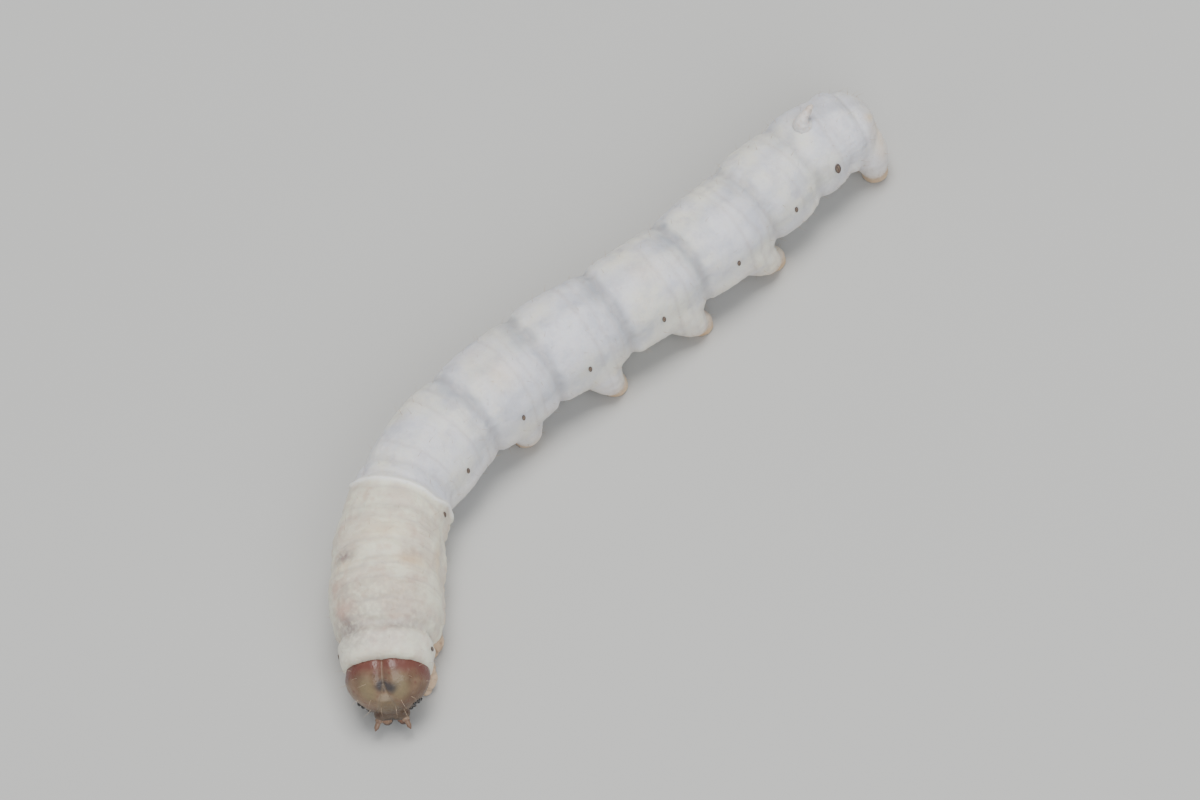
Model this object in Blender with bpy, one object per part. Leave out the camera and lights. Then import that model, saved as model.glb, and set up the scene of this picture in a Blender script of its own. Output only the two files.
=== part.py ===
"""A life-size silkworm at rest on its legs, parted into head, body lengths and limbs.

Millimetres are the script's own unit, and every mesh is written in metres. The head
looks towards -Y, the tail lies towards +Y, +Z is up and the animal's left is on +X.
"""

import math
from dataclasses import dataclass

import bmesh
import bpy
from mathutils import Matrix, Vector

METRE = 0.001
GAP = 0.3
SIDES = {"left": 1.0, "right": -1.0}


@dataclass(frozen=True)
class Segment:
    """One length of the body, with the course of the axis at its rear joint."""

    name: str
    length: float
    breadth: float
    depth: float
    heading: float
    height: float
    folds: int
    fold_depth: float


# The axis leaves the neck at this heading, in degrees from +Y towards +X, and height.
NECK_HEADING = -35.5
NECK_HEIGHT = 3.25
NECK_GIRTH = (4.5, 4.5)
TAIL_GIRTH = (3.8, 3.5)

SEGMENTS = (
    Segment("thorax_1", 1.3, 4.9, 4.8, -37.0, 3.45, 1, 0.12),
    Segment("thorax_2", 3.6, 5.95, 5.8, -35.0, 3.7, 3, 0.12),
    Segment("thorax_3", 3.2, 5.8, 5.65, -26.0, 3.8, 3, 0.12),
    Segment("abdomen_1", 2.8, 5.25, 5.15, -12.0, 3.75, 3, 0.09),
    Segment("abdomen_2", 5.1, 5.2, 5.1, 8.0, 3.7, 3, 0.07),
    Segment("abdomen_3", 4.8, 5.3, 5.2, 17.0, 3.65, 3, 0.07),
    Segment("abdomen_4", 4.7, 5.3, 5.2, 19.5, 3.65, 3, 0.07),
    Segment("abdomen_5", 4.9, 5.05, 4.95, 14.5, 3.6, 3, 0.07),
    Segment("abdomen_6", 4.8, 5.05, 4.95, 8.0, 3.6, 3, 0.07),
    Segment("abdomen_7", 3.6, 4.9, 4.75, 11.5, 3.6, 3, 0.07),
    Segment("abdomen_8", 2.5, 4.65, 4.5, 18.0, 3.6, 2, 0.07),
    Segment("abdomen_9", 1.2, 4.45, 4.3, 21.5, 3.45, 1, 0.07),
    Segment("abdomen_10", 1.5, 4.1, 3.8, 24.0, 3.25, 1, 0.04),
)

# The section of the body: a rounded oval with a flatter belly and a soft fold low on
# each side, and the pinch of the skin at every joint.
RING_POINTS = 28
CUTTER_STEPS = 18
STATIONS_PER_FOLD = 3
OVAL_POWER = 2.2
BELLY_FLATNESS = 0.92
PINCH_DEPTH = 0.17
PINCH_REACH = 0.45
SIDE_FOLD_DEG, SIDE_FOLD_RISE, SIDE_FOLD_REACH_DEG = -28.0, 0.14, 15.0
SIDE_GROOVE_DEG, SIDE_GROOVE_DROP, SIDE_GROOVE_REACH_DEG = -4.0, 0.09, 12.0
TAIL_ROUNDING = 1.7

# The head: a capsule of two lobes whose face looks forward and a little up.
HEAD_HALF_WIDTH, HEAD_HALF_HEIGHT, HEAD_HALF_LENGTH = 2.22, 2.10, 1.80
HEAD_LIFT_DEG = 16.0
HEAD_REACH = 0.65
HEAD_DROP = 0.30
CHEEK_TAPER = 0.36
CROWN_GROOVE_DEPTH, CROWN_GROOVE_REACH = 0.17, 0.30
FRONS_HOLLOW_DEPTH, FRONS_HOLLOW_REACH = 0.12, 0.55

# Middles and half sizes in the head's frame: left, towards the crown, out of the face.
LIP_PLACE, LIP_HALF = (0.27, -1.62, 1.02), (0.38, 0.34, 0.34)
PALP_PLACE, PALP_HALF = (0.50, -2.02, -0.30), (0.27, 0.40, 0.27)
JAW_PLACE, JAW_HALF = (0.42, -2.24, 0.66), (0.40, 0.48, 0.42)
SPINNERET_TOP, SPINNERET_STEP, SPINNERET_FORWARD = -1.5, 0.26, -0.12
SPINNERET_RADII = (0.40, 0.40, 0.38, 0.32, 0.22)

EYE_TURN_DEG, EYE_TILT_DEG = 57.0, -24.0
EYE_PATCH = (0.46, 0.44, 0.20)
STEMMA_COUNT = 6
STEMMA_RADIUS = 0.12
STEMMA_RING = 0.31
STEMMA_ARC_DEG = 250.0

ANTENNA_TURN_DEG, ANTENNA_TILT_DEG = 36.0, -50.0
ANTENNA_LENGTH = 0.95
ANTENNA_RADII = (0.30, 0.30, 0.25, 0.27, 0.20, 0.22, 0.12)

# The short jointed legs of the thorax, and the fleshy prolegs with their flat soles.
LEG_SEGMENTS = ("thorax_1", "thorax_2", "thorax_3")
LEG_ROOT_DEG = -56.0
LEG_RADII = (0.66, 0.66, 0.60, 0.46, 0.50, 0.38, 0.40, 0.30, 0.28, 0.25)
LEG_STRIDE = 0.70
LEG_KNEE_OUT = 0.28


@dataclass(frozen=True)
class Stance:
    """Where one pair of prolegs stands: its root along the segment, and its soles."""

    segment: str
    share: float
    outward: float
    backward: float


PROLEGS = (
    Stance("abdomen_3", 0.50, 1.25, 0.20),
    Stance("abdomen_4", 0.56, 1.85, 0.80),
    Stance("abdomen_5", 0.64, 1.70, 1.25),
    Stance("abdomen_6", 0.66, 1.55, 1.55),
)
PROLEG_HIP_SHARE = 0.42
PROLEG_ROOT_DEG = -36.0
PROLEG_RADII = (1.45, 1.45, 1.38, 1.20, 0.98, 0.78, 0.66, 0.71, 0.69, 0.55)
ANKLE_HEIGHT = 0.55
SOLE_CHAMFER = 0.16

ANAL_STANCE = Stance("abdomen_10", 0.30, 1.15, 0.15)
ANAL_ROOT_DEG = -30.0
ANAL_RADII = (1.10, 1.10, 1.10, 1.05, 0.92, 0.80, 0.70, 0.75, 0.73, 0.58)

HORN_STATION = 0.50
HORN_LENGTH = 1.35
HORN_LEAN_DEG = 38.0
HORN_RADII = (0.58, 0.56, 0.48, 0.37, 0.28, 0.20, 0.12)

SPIRACLE_SEGMENTS = ("thorax_1",) + tuple(f"abdomen_{n}" for n in range(1, 9))
SPIRACLE_DEG = 6.0
SPIRACLE_STATION = 0.40
SPIRACLE_SIZE = (0.13, 0.28, 0.09)


@dataclass(frozen=True)
class Finish:
    """The plain colour, gloss and metal of one kind of surface."""

    colour: tuple[float, float, float]
    roughness: float
    metallic: float = 0.0


SKIN_PALE = Finish((0.74, 0.74, 0.77), 0.55)
SKIN_CREAM = Finish((0.76, 0.70, 0.60), 0.55)
CAPSULE_BROWN = Finish((0.36, 0.20, 0.13), 0.32)
STEMMA_BLACK = Finish((0.02, 0.015, 0.012), 0.15)
LEG_TAN = Finish((0.62, 0.45, 0.30), 0.40)
PROLEG_CREAM = Finish((0.78, 0.68, 0.54), 0.55)
HORN_TAN = Finish((0.60, 0.48, 0.38), 0.50)
JAW_BROWN = Finish((0.16, 0.07, 0.04), 0.28)


def smooth(knots: list[float], values: list[float], place: float) -> float:
    """Read a smooth curve through values set at knots, level slopes past its ends."""
    last = len(knots) - 1
    slopes = []
    for index in range(last + 1):
        low, high = max(index - 1, 0), min(index + 1, last)
        slopes.append((values[high] - values[low]) / (knots[high] - knots[low]))
    place = min(max(place, knots[0]), knots[last])
    index = max(i for i in range(last) if knots[i] <= place)
    span = knots[index + 1] - knots[index]
    t = (place - knots[index]) / span
    return (
        (2 * t**3 - 3 * t**2 + 1) * values[index]
        + (t**3 - 2 * t**2 + t) * span * slopes[index]
        + (3 * t**2 - 2 * t**3) * values[index + 1]
        + (t**3 - t**2) * span * slopes[index + 1]
    )


def bump(offset: float, reach: float) -> float:
    """Return a soft hump that is 1 at no offset and fades over reach."""
    return math.exp(-((offset / reach) ** 2))


class Body:
    """The course of the body's axis and the skin around it, from the neck back."""

    STEP = 0.05

    def __init__(self, segments: tuple[Segment, ...]) -> None:
        self.segments = {segment.name: segment for segment in segments}
        self.joints = [0.0]
        for segment in segments:
            self.joints.append(self.joints[-1] + segment.length)
        self.starts = dict(zip(self.segments, self.joints))
        headings = [NECK_HEADING] + [segment.heading for segment in segments]
        heights = [NECK_HEIGHT] + [segment.height for segment in segments]
        middles = [(a + b) / 2 for a, b in zip(self.joints, self.joints[1:])]
        self.girth_knots = [0.0] + middles + [self.joints[-1]]
        self.breadths = [NECK_GIRTH[0]] + [s.breadth for s in segments] + [TAIL_GIRTH[0]]
        self.depths = [NECK_GIRTH[1]] + [s.depth for s in segments] + [TAIL_GIRTH[1]]
        self.walk = self.walk_axis(headings, heights)

    def walk_axis(self, headings: list[float], heights: list[float]) -> list[tuple]:
        """Step along the axis and keep its points and its turns at every step."""
        place = Vector((0.0, 0.0, 0.0))
        walk = []
        for count in range(int(self.joints[-1] / self.STEP) + 1):
            station = count * self.STEP
            heading = math.radians(smooth(self.joints, headings, station))
            place.z = smooth(self.joints, heights, station)
            ahead = smooth(self.joints, heights, station + self.STEP)
            climb = math.asin((ahead - place.z) / self.STEP)
            walk.append((place.copy(), heading, climb))
            run = self.STEP * math.cos(climb)
            place = place + Vector((math.sin(heading) * run, math.cos(heading) * run, 0))
        return walk

    def frame(self, station: float) -> tuple[Vector, Vector, Vector, Vector]:
        """Return the axis point, and the left, up and rearward directions there."""
        index = min(max(round(station / self.STEP), 0), len(self.walk) - 1)
        place, heading, climb = self.walk[index]
        along = Vector(
            (
                math.sin(heading) * math.cos(climb),
                math.cos(heading) * math.cos(climb),
                math.sin(climb),
            )
        )
        left = Vector((math.cos(heading), -math.sin(heading), 0.0))
        return place + along * (station - index * self.STEP), left, left.cross(along), along

    def crease(self, station: float) -> float:
        """Return how far the folds and joints draw the skin in at a station."""
        depth = 0.0
        for name, start in self.starts.items():
            segment = self.segments[name]
            share = (station - start) / segment.length
            if 0.0 <= share <= 1.0:
                wave = 0.5 + 0.5 * math.cos(2 * math.pi * segment.folds * share)
                depth = segment.fold_depth * wave**2
        pinch = sum(bump(station - joint, PINCH_REACH) for joint in self.joints[:-1])
        return depth + PINCH_DEPTH * pinch

    def surface(self, station: float, angle: float, grow: float = 0.0) -> Vector:
        """Return the skin at a station and an angle from the left side up over the back."""
        place, left, up, _ = self.frame(station)
        past = max(station - (self.joints[-1] - TAIL_ROUNDING), 0.0) / (TAIL_ROUNDING * 1.04)
        rounding = math.sqrt(max(1.0 - past**2, 0.05))
        degrees = math.degrees(math.atan2(math.sin(angle), abs(math.cos(angle))))
        side = SIDE_FOLD_RISE * bump(degrees - SIDE_FOLD_DEG, SIDE_FOLD_REACH_DEG)
        side -= SIDE_GROOVE_DROP * bump(degrees - SIDE_GROOVE_DEG, SIDE_GROOVE_REACH_DEG)
        change = (side - self.crease(station)) * rounding + grow
        half_breadth = smooth(self.girth_knots, self.breadths, station) / 2 * rounding + change
        half_depth = smooth(self.girth_knots, self.depths, station) / 2 * rounding + change
        across = math.copysign(abs(math.cos(angle)) ** (2 / OVAL_POWER), math.cos(angle))
        upward = math.copysign(abs(math.sin(angle)) ** (2 / OVAL_POWER), math.sin(angle))
        if upward < 0.0:
            upward *= BELLY_FLATNESS
        return place + left * (half_breadth * across) + up * (half_depth * upward)

    def ring(self, station: float, grow: float = 0.0) -> list[Vector]:
        """Return one loop of points round the body at a station."""
        turns = (2 * math.pi * count / RING_POINTS for count in range(RING_POINTS))
        return [self.surface(station, turn, grow) for turn in turns]


def make_object(name: str, mesh_data: bmesh.types.BMesh, finish: Finish | None) -> bpy.types.Object:
    """Turn a bmesh in millimetres into a named object in metres with its finish."""
    bmesh.ops.scale(mesh_data, vec=(METRE,) * 3, verts=mesh_data.verts)
    bmesh.ops.recalc_face_normals(mesh_data, faces=mesh_data.faces)
    mesh = bpy.data.meshes.new(name)
    mesh_data.to_mesh(mesh)
    mesh_data.free()
    mesh.shade_smooth()
    mesh.set_sharp_from_angle(angle=math.radians(50))
    obj = bpy.data.objects.new(name, mesh)
    bpy.context.scene.collection.objects.link(obj)
    if finish is not None:
        mesh.materials.append(make_material(name, finish))
    return obj


def make_material(name: str, finish: Finish) -> bpy.types.Material:
    """Make the Principled material of one object."""
    material = bpy.data.materials.new(f"{name}_finish")
    material.use_nodes = True
    shader = material.node_tree.nodes["Principled BSDF"]
    shader.inputs["Base Color"].default_value = (*finish.colour, 1.0)
    shader.inputs["Roughness"].default_value = finish.roughness
    shader.inputs["Metallic"].default_value = finish.metallic
    return material


def loft(rings: list[list[Vector]]) -> bmesh.types.BMesh:
    """Join loops of like count into one closed skin with flat ends."""
    shape = bmesh.new()
    loops = [[shape.verts.new(point) for point in ring] for ring in rings]
    count = len(rings[0])
    for near, far in zip(loops, loops[1:]):
        for index in range(count):
            follow = (index + 1) % count
            shape.faces.new((near[index], near[follow], far[follow], far[index]))
    shape.faces.new(loops[0])
    shape.faces.new(loops[-1])
    return shape


def tube(path: list[Vector], radii: tuple[float, ...], sides: int) -> bmesh.types.BMesh:
    """Sweep a round limb of changing radius along a path of as many points."""
    rings = []
    side_hint = (path[-1] - path[0]).orthogonal().normalized()
    for index, (point, radius) in enumerate(zip(path, radii)):
        ahead = path[min(index + 1, len(path) - 1)] - path[max(index - 1, 0)]
        if index == len(path) - 1:
            ahead = path[-1] - path[-2]
        across = (side_hint - side_hint.project(ahead)).normalized()
        third = ahead.normalized().cross(across)
        turns = (2 * math.pi * count / sides for count in range(sides))
        rings.append(
            [point + (across * math.cos(t) + third * math.sin(t)) * radius for t in turns]
        )
    return loft(rings)


def curve_path(guides: list[Vector], count: int) -> list[Vector]:
    """Spread points evenly by share along a smooth curve through the guides."""
    knots = [float(index) for index in range(len(guides))]
    columns = [[guide[axis] for guide in guides] for axis in range(3)]
    shares = (knots[-1] * index / (count - 1) for index in range(count))
    return [Vector([smooth(knots, column, share) for column in columns]) for share in shares]


def ellipsoid(centre: Vector, axes: tuple[Vector, ...], sides: int, rings: int) -> bmesh.types.BMesh:
    """Make a closed ellipsoid from its centre and its three half axes."""
    shape = bmesh.new()
    bmesh.ops.create_uvsphere(shape, u_segments=sides, v_segments=rings, radius=1.0)
    for vert in shape.verts:
        vert.co = centre + sum((axis * part for axis, part in zip(axes, vert.co)), Vector())
    return shape


def keep_largest(obj: bpy.types.Object) -> None:
    """Delete every closed surface of an object but the one that encloses most."""
    shape = bmesh.new()
    shape.from_mesh(obj.data)
    islands, unseen = [], set(shape.verts)
    while unseen:
        island, front = set(), [unseen.pop()]
        while front:
            vert = front.pop()
            island.add(vert)
            near = {edge.other_vert(vert) for edge in vert.link_edges} & unseen
            unseen -= near
            front.extend(near)
        islands.append(island)
    largest = max(islands, key=box_volume)
    spare = [vert for vert in shape.verts if vert not in largest]
    bmesh.ops.delete(shape, geom=spare, context="VERTS")
    shape.to_mesh(obj.data)
    shape.free()


def box_volume(verts: set) -> float:
    """Return the volume of the box round some vertices."""
    spans = [[vert.co[axis] for vert in verts] for axis in range(3)]
    return math.prod(max(span) - min(span) for span in spans)


def combine(target: bpy.types.Object, others: list[bpy.types.Object], operation: str) -> None:
    """Fuse or cut an object by others with a Boolean, apply it and remove the others."""
    group = bpy.data.collections.new(f"{target.name}_tools")
    bpy.context.scene.collection.children.link(group)
    for other in others:
        group.objects.link(other)
    boolean = target.modifiers.new(operation.title(), "BOOLEAN")
    boolean.operation = operation
    boolean.operand_type = "COLLECTION"
    boolean.collection = group
    boolean.solver = "EXACT"
    graph = bpy.context.evaluated_depsgraph_get()
    result = bpy.data.meshes.new_from_object(target.evaluated_get(graph))
    result.name = target.name
    target.modifiers.clear()
    target.data = result
    for other in others:
        bpy.data.objects.remove(other)
    bpy.data.collections.remove(group)
    keep_largest(target)


def make_body_cutter(body: Body, name: str) -> bpy.types.Object:
    """Make the body round one segment, grown by the gap, to cut a root against."""
    start = body.starts[name]
    length = body.segments[name].length
    first = max(start - length * 0.6, 0.0)
    last = min(start + length * 1.6, body.joints[-1] + GAP)
    stations = (
        first + (last - first) * step / CUTTER_STEPS for step in range(CUTTER_STEPS + 1)
    )
    return make_object(f"{name}_cutter", loft([body.ring(s, GAP) for s in stations]), None)


def make_segments(body: Body) -> None:
    """Make every length of the body, parted by the gap, with its spiracles."""
    for name, segment in body.segments.items():
        finish = SKIN_CREAM if name.startswith("thorax") else SKIN_PALE
        start = body.starts[name] + GAP / 2
        is_last = name == SEGMENTS[-1].name
        run = segment.length - (GAP / 2 if is_last else GAP)
        count = segment.folds * STATIONS_PER_FOLD * (2 if is_last else 1)
        rings = [body.ring(start + run * step / count) for step in range(count + 1)]
        obj = make_object(name, loft(rings), finish)
        if name in SPIRACLE_SEGMENTS:
            spiracles = [make_spiracle(body, name, side) for side in SIDES]
            combine(obj, spiracles, "UNION")


def make_spiracle(body: Body, name: str, side: str) -> bpy.types.Object:
    """Make the raised oval rim of one breathing hole."""
    station = body.starts[name] + body.segments[name].length * SPIRACLE_STATION
    tilt = math.radians(SPIRACLE_DEG)
    angle = tilt if side == "left" else math.pi - tilt
    centre = body.surface(station, angle)
    _, _, up, along = body.frame(station)
    outward = (centre - body.frame(station)[0]).normalized()
    narrow, tall, rise = SPIRACLE_SIZE
    upright = (up - up.project(outward)).normalized()
    axes = (along * narrow, upright * tall, outward * rise)
    return make_object(f"spiracle_{side}", ellipsoid(centre, axes, 8, 5), None)


class Head:
    """The hard head capsule, in a frame of its own that is tipped at the neck."""

    def __init__(self, body: Body) -> None:
        self.neck, self.left, up, rearward = body.frame(0.0)
        self.forward_level = -rearward
        lift = math.radians(HEAD_LIFT_DEG)
        self.face = self.forward_level * math.cos(lift) + up * math.sin(lift)
        self.crown = up * math.cos(lift) - self.forward_level * math.sin(lift)
        self.centre = self.neck + self.forward_level * HEAD_REACH - up * HEAD_DROP

    def place(self, across: float, upward: float, forward: float) -> Vector:
        """Turn head coordinates into the part's frame."""
        return self.centre + self.left * across + self.crown * upward + self.face * forward

    def skin(self, direction: Vector, grow: float = 0.0) -> Vector:
        """Return the capsule's surface in one direction of the head's own frame."""
        across, upward, forward = direction.normalized()
        half = (HEAD_HALF_WIDTH, HEAD_HALF_HEIGHT, HEAD_HALF_LENGTH)
        reach = 1.0 / math.sqrt(
            sum((part / size) ** 2 for part, size in zip((across, upward, forward), half))
        )
        crown_side = 1.0 / (1.0 + math.exp(-6.0 * (upward + 0.15)))
        groove = CROWN_GROOVE_DEPTH * bump(across * reach, CROWN_GROOVE_REACH) * crown_side
        low_front = bump(upward * reach + 0.75, 0.7) * max(forward, 0.0)
        hollow = FRONS_HOLLOW_DEPTH * bump(across * reach, FRONS_HOLLOW_REACH) * low_front
        reach += grow - groove - hollow
        taper = 1.0 - CHEEK_TAPER * max(-upward, 0.0) ** 1.5
        return self.place(across * reach * taper, upward * reach, forward * reach)

    def aim(self, turn_deg: float, tilt_deg: float) -> Vector:
        """Return a direction by its turn to the left and its tilt above the face."""
        turn, tilt = math.radians(turn_deg), math.radians(tilt_deg)
        return Vector(
            (math.sin(turn) * math.cos(tilt), math.sin(tilt), math.cos(turn) * math.cos(tilt))
        )

    def make_shell(self, name: str, grow: float, finish: Finish | None) -> bpy.types.Object:
        """Make the capsule, cut flat where it meets the collar of the thorax."""
        shape = bmesh.new()
        bmesh.ops.create_icosphere(shape, subdivisions=4, radius=1.0)
        for vert in shape.verts:
            vert.co = self.skin(vert.co, grow)
        bmesh.ops.bisect_plane(
            shape,
            geom=shape.verts[:] + shape.edges[:] + shape.faces[:],
            plane_co=self.neck + self.forward_level * (GAP / 2 - grow),
            plane_no=-self.forward_level,
            clear_outer=True,
        )
        rim = [edge for edge in shape.edges if edge.is_boundary]
        bmesh.ops.contextual_create(shape, geom=rim)
        return make_object(name, shape, finish)

    def blob(self, name: str, centre: tuple, half: tuple, finish: Finish | None,
             side: float) -> bpy.types.Object:
        """Make an ellipsoid on one side of the head, with its axes along the head's own."""
        axes = (self.left * half[0], self.crown * half[1], self.face * half[2])
        middle = self.place(centre[0] * side, centre[1], centre[2])
        return make_object(name, ellipsoid(middle, axes, 14, 9), finish)

    def eye_axes(self, side: float) -> tuple[Vector, Vector, Vector, Vector]:
        """Return the middle of an eye patch, and its across, up and outward directions."""
        aim = self.aim(EYE_TURN_DEG * side, EYE_TILT_DEG)
        centre = self.skin(aim)
        outward = (centre - self.centre).normalized()
        upright = (self.crown - self.crown.project(outward)).normalized()
        return centre, upright.cross(outward), upright, outward

    def make_eye(self, name: str, side: float) -> bpy.types.Object:
        """Make one low patch with its curved row of simple eyes."""
        centre, across, upright, outward = self.eye_axes(side)
        half = EYE_PATCH
        axes = (across * half[0], upright * half[1], outward * half[2])
        patch = make_object(name, ellipsoid(centre, axes, 14, 7), STEMMA_BLACK)
        domes = []
        for count in range(STEMMA_COUNT):
            turn = math.radians(STEMMA_ARC_DEG * (count / (STEMMA_COUNT - 1) - 0.5))
            spot = across * (math.cos(turn) * side) + upright * math.sin(turn)
            place = centre + spot * STEMMA_RING + outward * half[2] * 0.6
            size = (across * STEMMA_RADIUS, upright * STEMMA_RADIUS, outward * STEMMA_RADIUS)
            domes.append(make_object(f"stemma_{count}", ellipsoid(place, size, 8, 4), None))
        combine(patch, domes, "UNION")
        return patch

    def eye_socket(self, side: float) -> bpy.types.Object:
        """Make the hollow that an eye patch sits in, the gap wider all round."""
        centre, across, upright, outward = self.eye_axes(side)
        grown = [size + GAP for size in EYE_PATCH]
        axes = (across * grown[0], upright * grown[1], outward * grown[2])
        return make_object("eye_socket", ellipsoid(centre, axes, 16, 8), None)


def make_head(head: Head) -> None:
    """Make the capsule with its lip and lower mouthparts, its eyes, feelers and jaws."""
    capsule = head.make_shell("head", 0.0, CAPSULE_BROWN)
    soft_parts = make_lip_and_palps(head, 0.0)
    spinneret_path = [
        head.place(0.0, SPINNERET_TOP - SPINNERET_STEP * step, SPINNERET_FORWARD)
        for step in range(len(SPINNERET_RADII))
    ]
    spinneret = make_object("spinneret", tube(spinneret_path, SPINNERET_RADII, 12), None)
    combine(capsule, soft_parts + [spinneret], "UNION")
    combine(capsule, [head.eye_socket(sign) for sign in SIDES.values()], "DIFFERENCE")

    for side, sign in SIDES.items():
        head.make_eye(f"eye_{side}", sign)
        jaw = head.blob(f"mandible_{side}", JAW_PLACE, JAW_HALF, JAW_BROWN, sign)
        shell = head.make_shell("head_room", GAP, None)
        room = make_lip_and_palps(head, GAP)
        combine(jaw, [shell, make_mid_gap(head)] + room, "DIFFERENCE")
        make_antenna(head, f"antenna_{side}", sign)


def make_lip_and_palps(head: Head, grow: float) -> list[bpy.types.Object]:
    """Make the two lobes of the lip and the two palps behind the jaws."""
    return [
        head.blob("mouthpart", place, tuple(size + grow for size in half), None, sign)
        for place, half in ((LIP_PLACE, LIP_HALF), (PALP_PLACE, PALP_HALF))
        for sign in SIDES.values()
    ]


def make_mid_gap(head: Head) -> bpy.types.Object:
    """Make the thin slab that parts the two jaws."""
    shape = bmesh.new()
    bmesh.ops.create_cube(shape, size=1.0)
    for vert in shape.verts:
        vert.co = head.place(vert.co.x * GAP, vert.co.y * 4 - 2, vert.co.z * 4)
    return make_object("jaw_gap", shape, None)


def make_antenna(head: Head, name: str, side: float) -> None:
    """Make one short feeler, rooted on the capsule beside the lip."""
    aim = head.aim(ANTENNA_TURN_DEG * side, ANTENNA_TILT_DEG)
    root = head.skin(aim)
    outward = (root - head.centre).normalized()
    lean = (outward + head.face * 0.55 + head.left * (0.25 * side)).normalized()
    guides = [root - outward * 0.5, root, root + lean * ANTENNA_LENGTH]
    feeler = make_object(
        name, tube(curve_path(guides, len(ANTENNA_RADII)), ANTENNA_RADII, 10), LEG_TAN
    )
    combine(feeler, [head.make_shell("head_room", GAP, None)], "DIFFERENCE")


def make_legs(body: Body) -> None:
    """Make the three pairs of jointed legs, each down to a small flat on the floor."""
    for number, name in enumerate(LEG_SEGMENTS, start=1):
        station = body.starts[name] + body.segments[name].length * 0.5
        _, left, _, along = body.frame(station)
        forward = Vector((-along.x, -along.y, 0.0)).normalized()
        for side, sign in SIDES.items():
            angle = math.radians(LEG_ROOT_DEG)
            root = body.surface(station, angle if sign > 0 else math.pi - angle)
            inward = (body.frame(station)[0] - root).normalized()
            knee = root + left * (LEG_KNEE_OUT * sign) + forward * (LEG_STRIDE * 0.5)
            knee.z = root.z * 0.6
            toe = root + forward * LEG_STRIDE
            toe.z = 0.0
            ankle = toe + Vector((0.0, 0.0, root.z * 0.12))
            guides = [root + inward * 0.7, root, knee, ankle]
            path = curve_path(guides, len(LEG_RADII) - 1) + [toe]
            leg = make_object(f"leg_{number}_{side}", tube(path, LEG_RADII, 10), LEG_TAN)
            combine(leg, [make_body_cutter(body, name)], "DIFFERENCE")


def make_proleg(body: Body, name: str, stance: Stance, root_deg: float, radii: tuple,
                sign: float) -> None:
    """Make one fleshy leg from the side of the belly down to its flat sole."""
    segment = body.segments[stance.segment]
    station = body.starts[stance.segment] + segment.length * stance.share
    axis, left, _, along = body.frame(station)
    angle = math.radians(root_deg)
    root = body.surface(station, angle if sign > 0 else math.pi - angle)
    spread = left * (stance.outward * sign) + along * stance.backward
    sole = Vector((axis.x, axis.y, 0.0)) + spread
    sole.z = 0.0
    ankle = sole + Vector((0.0, 0.0, ANKLE_HEIGHT))
    rim = sole + Vector((0.0, 0.0, SOLE_CHAMFER))
    hip = axis.lerp(root, PROLEG_HIP_SHARE)
    middle = ankle.lerp(root, 0.45)
    guides = [hip, hip.lerp(middle, 0.55), middle.lerp(ankle, 0.2), ankle]
    path = curve_path(guides, len(radii) - 2) + [rim, sole]
    proleg = make_object(name, tube(path, radii, 16), PROLEG_CREAM)
    combine(proleg, [make_body_cutter(body, stance.segment)], "DIFFERENCE")


def make_prolegs(body: Body) -> None:
    """Make the four pairs of belly prolegs and the pair at the tail."""
    for side, sign in SIDES.items():
        for stance in PROLEGS:
            name = f"proleg_{stance.segment.split('_')[1]}_{side}"
            make_proleg(body, name, stance, PROLEG_ROOT_DEG, PROLEG_RADII, sign)
        make_proleg(body, f"anal_proleg_{side}", ANAL_STANCE, ANAL_ROOT_DEG, ANAL_RADII, sign)


def make_horn(body: Body) -> None:
    """Make the short fleshy horn that leans back from the top of segment 8."""
    station = body.starts["abdomen_8"] + body.segments["abdomen_8"].length * HORN_STATION
    _, _, up, along = body.frame(station)
    root = body.surface(station, math.pi / 2)
    lean = math.radians(HORN_LEAN_DEG)
    tip = root + (up * math.cos(lean) + along * math.sin(lean)) * HORN_LENGTH
    guides = [root - up * 0.5, root + up * (HORN_LENGTH * 0.35), tip]
    horn = make_object("horn", tube(curve_path(guides, len(HORN_RADII)), HORN_RADII, 12), HORN_TAN)
    combine(horn, [make_body_cutter(body, "abdomen_8")], "DIFFERENCE")


def centre_on_floor() -> None:
    """Move every solid so that the middle of the whole stands over the origin."""
    solids = [obj for obj in bpy.data.objects if obj.type == "MESH"]
    points = [vert.co for obj in solids for vert in obj.data.vertices]
    middle = [
        (min(point[axis] for point in points) + max(point[axis] for point in points)) / 2
        for axis in (0, 1)
    ]
    for obj in solids:
        obj.data.transform(Matrix.Translation((-middle[0], -middle[1], 0.0)))


def main() -> None:
    """Clear the scene and build the animal from the neck to the tail."""
    for obj in list(bpy.data.objects):
        bpy.data.objects.remove(obj)
    body = Body(SEGMENTS)
    make_segments(body)
    make_head(Head(body))
    make_legs(body)
    make_prolegs(body)
    make_horn(body)
    centre_on_floor()


if __name__ == "__main__":
    main()
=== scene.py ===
"""Dress a life-size silkworm model: one wrinkled skin, a hard head and its small parts.

Millimetres are the script's own unit, and every finished mesh is in metres. The head
looks towards -Y, the tail lies towards +Y, +Z is up and the animal's left is on +X.
"""

import itertools
import logging
import math
from dataclasses import dataclass, field
from enum import Enum
from typing import Callable, Iterable

import bmesh
import bpy
import numpy as np
from mathutils import Matrix, Vector
from mathutils.bvhtree import BVHTree


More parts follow.
